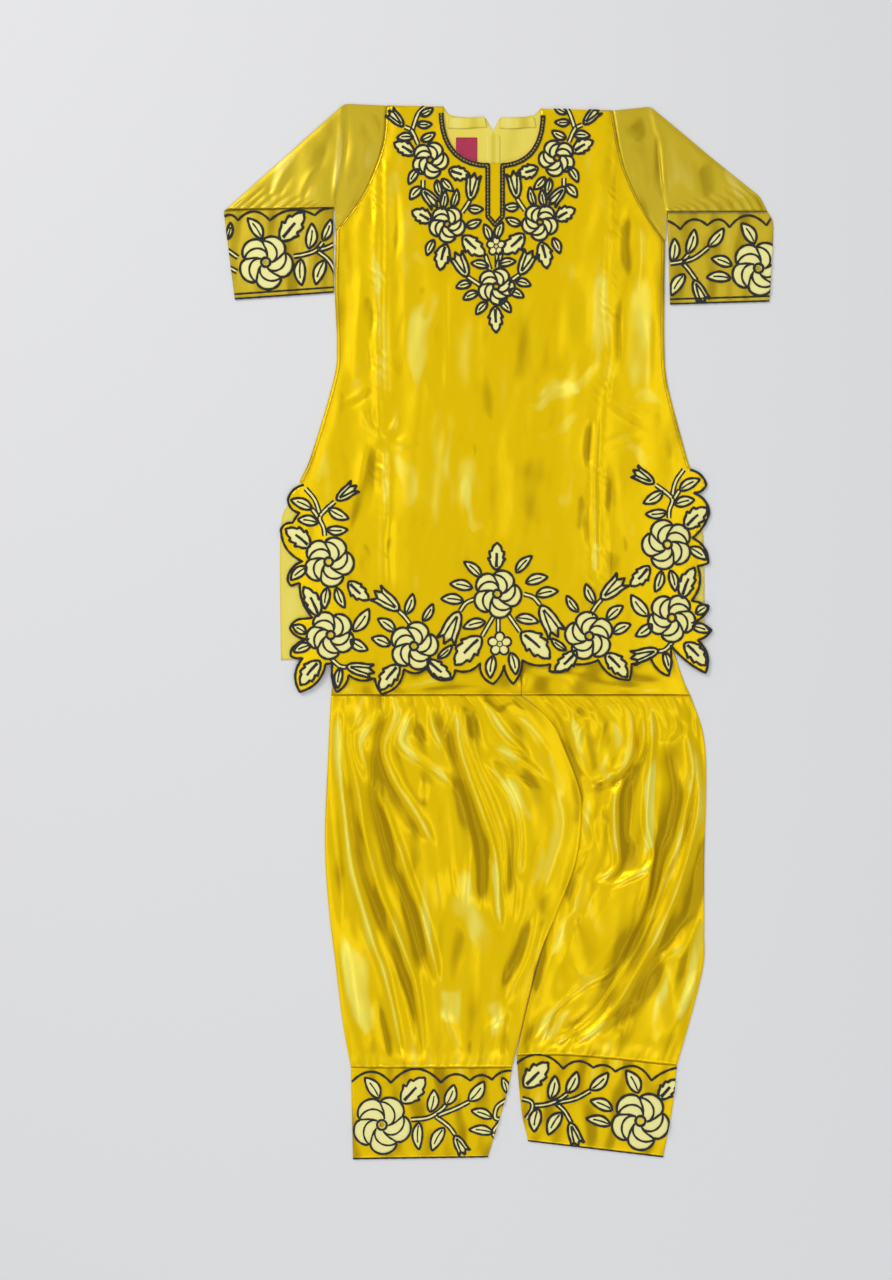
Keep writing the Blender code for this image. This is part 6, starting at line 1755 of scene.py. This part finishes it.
# The floor in metres: how far it reaches each way, and how far it lies below the cloth.
FLOOR_REACH = 6
FLOOR_DROP = 0.0003
# A broad light from the upper left, and narrow ones overhead that the satin reflects as bright bands. Each has its
# place and its two sizes in metres, its share of the light's power, and its colour.
LIGHTS = (
    ("main light", (-2.2, 2.4, 3.0), 1.6, 1.6, 1.0, (1.0, 0.985, 0.96)),
    ("left strip", (-1.15, 0.0, 3.4), 0.40, 3.6, 0.20, (0.98, 0.99, 1.0)),
    ("right strip", (1.05, 0.0, 3.3), 0.40, 3.6, 0.20, (0.98, 0.99, 1.0)),
    ("foot light", (0.4, -3.0, 2.8), 2.4, 0.8, 0.36, (1.0, 1.0, 1.0)),
)
# The camera looks straight down on the part of the lay that the photo shows.
CAMERA_PLACE = (-0.07875, -0.0135, 2.2)
CAMERA_LENS = 41.25


class SUIT_OT_stage(bpy.types.Operator):
    """Sets the floor, the soft light and the camera"""

    bl_idname = "suit.stage"
    bl_label = "Floor, light and camera"

    def execute(self, context):
        """The camera looks straight down, and the light falls softly from the upper left."""
        settings = context.scene.suit_stage
        corners = np.array([(x * FLOOR_REACH, y * FLOOR_REACH, -FLOOR_DROP)
                            for x, y in ((-1, -1), (1, -1), (1, 1), (-1, 1))])
        made, tree, shader = new_material("matt paper floor")
        where = add_node(tree, "ShaderNodeTexCoord").outputs["Object"]
        grain = bumped(tree, noise(tree, 400.0, 2.0, where), 0.05, 0.0005)
        tree.links.new(grain, shader.inputs["Normal"])
        shader.inputs["Base Color"].default_value = tuple(settings.floor_colour)
        shader.inputs["Roughness"].default_value = 0.9
        floor = made_object("floor", corners, [(0, 1, 2, 3)], [made])
        for name, place_at, wide, long, share, tint in LIGHTS:
            data = bpy.data.lights.new(name, "AREA")
            data.shape, data.size, data.size_y, data.color = "RECTANGLE", wide, long, tint
            data.energy = settings.light_power * share
            lamp = bpy.data.objects.new(name, data)
            lamp.location = place_at
            if name.endswith("strip"):
                lamp.rotation_euler = (0.0, math.atan2(place_at[0], place_at[2]), 0.0)
            else:
                lamp.rotation_euler = (-(lamp.location)).to_track_quat("-Z", "Y").to_euler()
            context.scene.collection.objects.link(lamp)
        world = bpy.data.worlds.new("soft room")
        world.use_nodes = True
        world.node_tree.nodes["Background"].inputs["Color"].default_value = (0.95, 0.965, 1.0, 1.0)
        world.node_tree.nodes["Background"].inputs["Strength"].default_value = 0.45
        context.scene.world = world
        lens = bpy.data.cameras.new("camera")
        lens.lens = CAMERA_LENS
        camera = bpy.data.objects.new("camera", lens)
        camera.location = CAMERA_PLACE
        context.scene.collection.objects.link(camera)
        context.scene.camera = camera
        context.scene.view_settings.view_transform = "Standard"
        return {"FINISHED"}


OPERATORS = (
    SUIT_OT_trousers, SUIT_OT_back_panel, SUIT_OT_front_panel, SUIT_OT_sleeves, SUIT_OT_neck_trims,
    SUIT_OT_neck_embroidery, SUIT_OT_hem_embroidery, SUIT_OT_cuff_embroidery, SUIT_OT_stage,
)


class SUIT_PT_panel(bpy.types.Panel):
    """Lists the suit's settings and steps"""

    bl_label = "Salwar kameez suit"
    bl_space_type = "VIEW_3D"
    bl_region_type = "UI"
    bl_category = "Suit"

    def draw(self, context):
        """Shows the settings, then a button for each step."""
        scene = context.scene
        for settings in (scene.suit_cloth, scene.suit_embroidery, scene.suit_stage):
            for name in settings.bl_rna.properties.keys():
                if name not in ("rna_type", "name"):
                    self.layout.prop(settings, name)
        for step in OPERATORS:
            self.layout.operator(step.bl_idname)


SETTINGS = (
    ("suit_cloth", SuitClothSettings), ("suit_embroidery", SuitEmbroiderySettings), ("suit_stage", SuitStageSettings),
)


def register():
    """Registers the settings, the steps and the panel."""
    for name, group in SETTINGS:
        bpy.utils.register_class(group)
        setattr(bpy.types.Scene, name, bpy.props.PointerProperty(type=group))
    for step in (*OPERATORS, SUIT_PT_panel):
        bpy.utils.register_class(step)


def unregister():
    """Removes what register added."""
    for step in (*OPERATORS, SUIT_PT_panel):
        bpy.utils.unregister_class(step)
    for name, group in SETTINGS:
        delattr(bpy.types.Scene, name)
        bpy.utils.unregister_class(group)


def main():
    """Builds the whole suit step by step."""
    register()
    for step in OPERATORS:
        group, name = step.bl_idname.split(".")
        getattr(getattr(bpy.ops, group), name)()


if __name__ == "__main__":
    main()
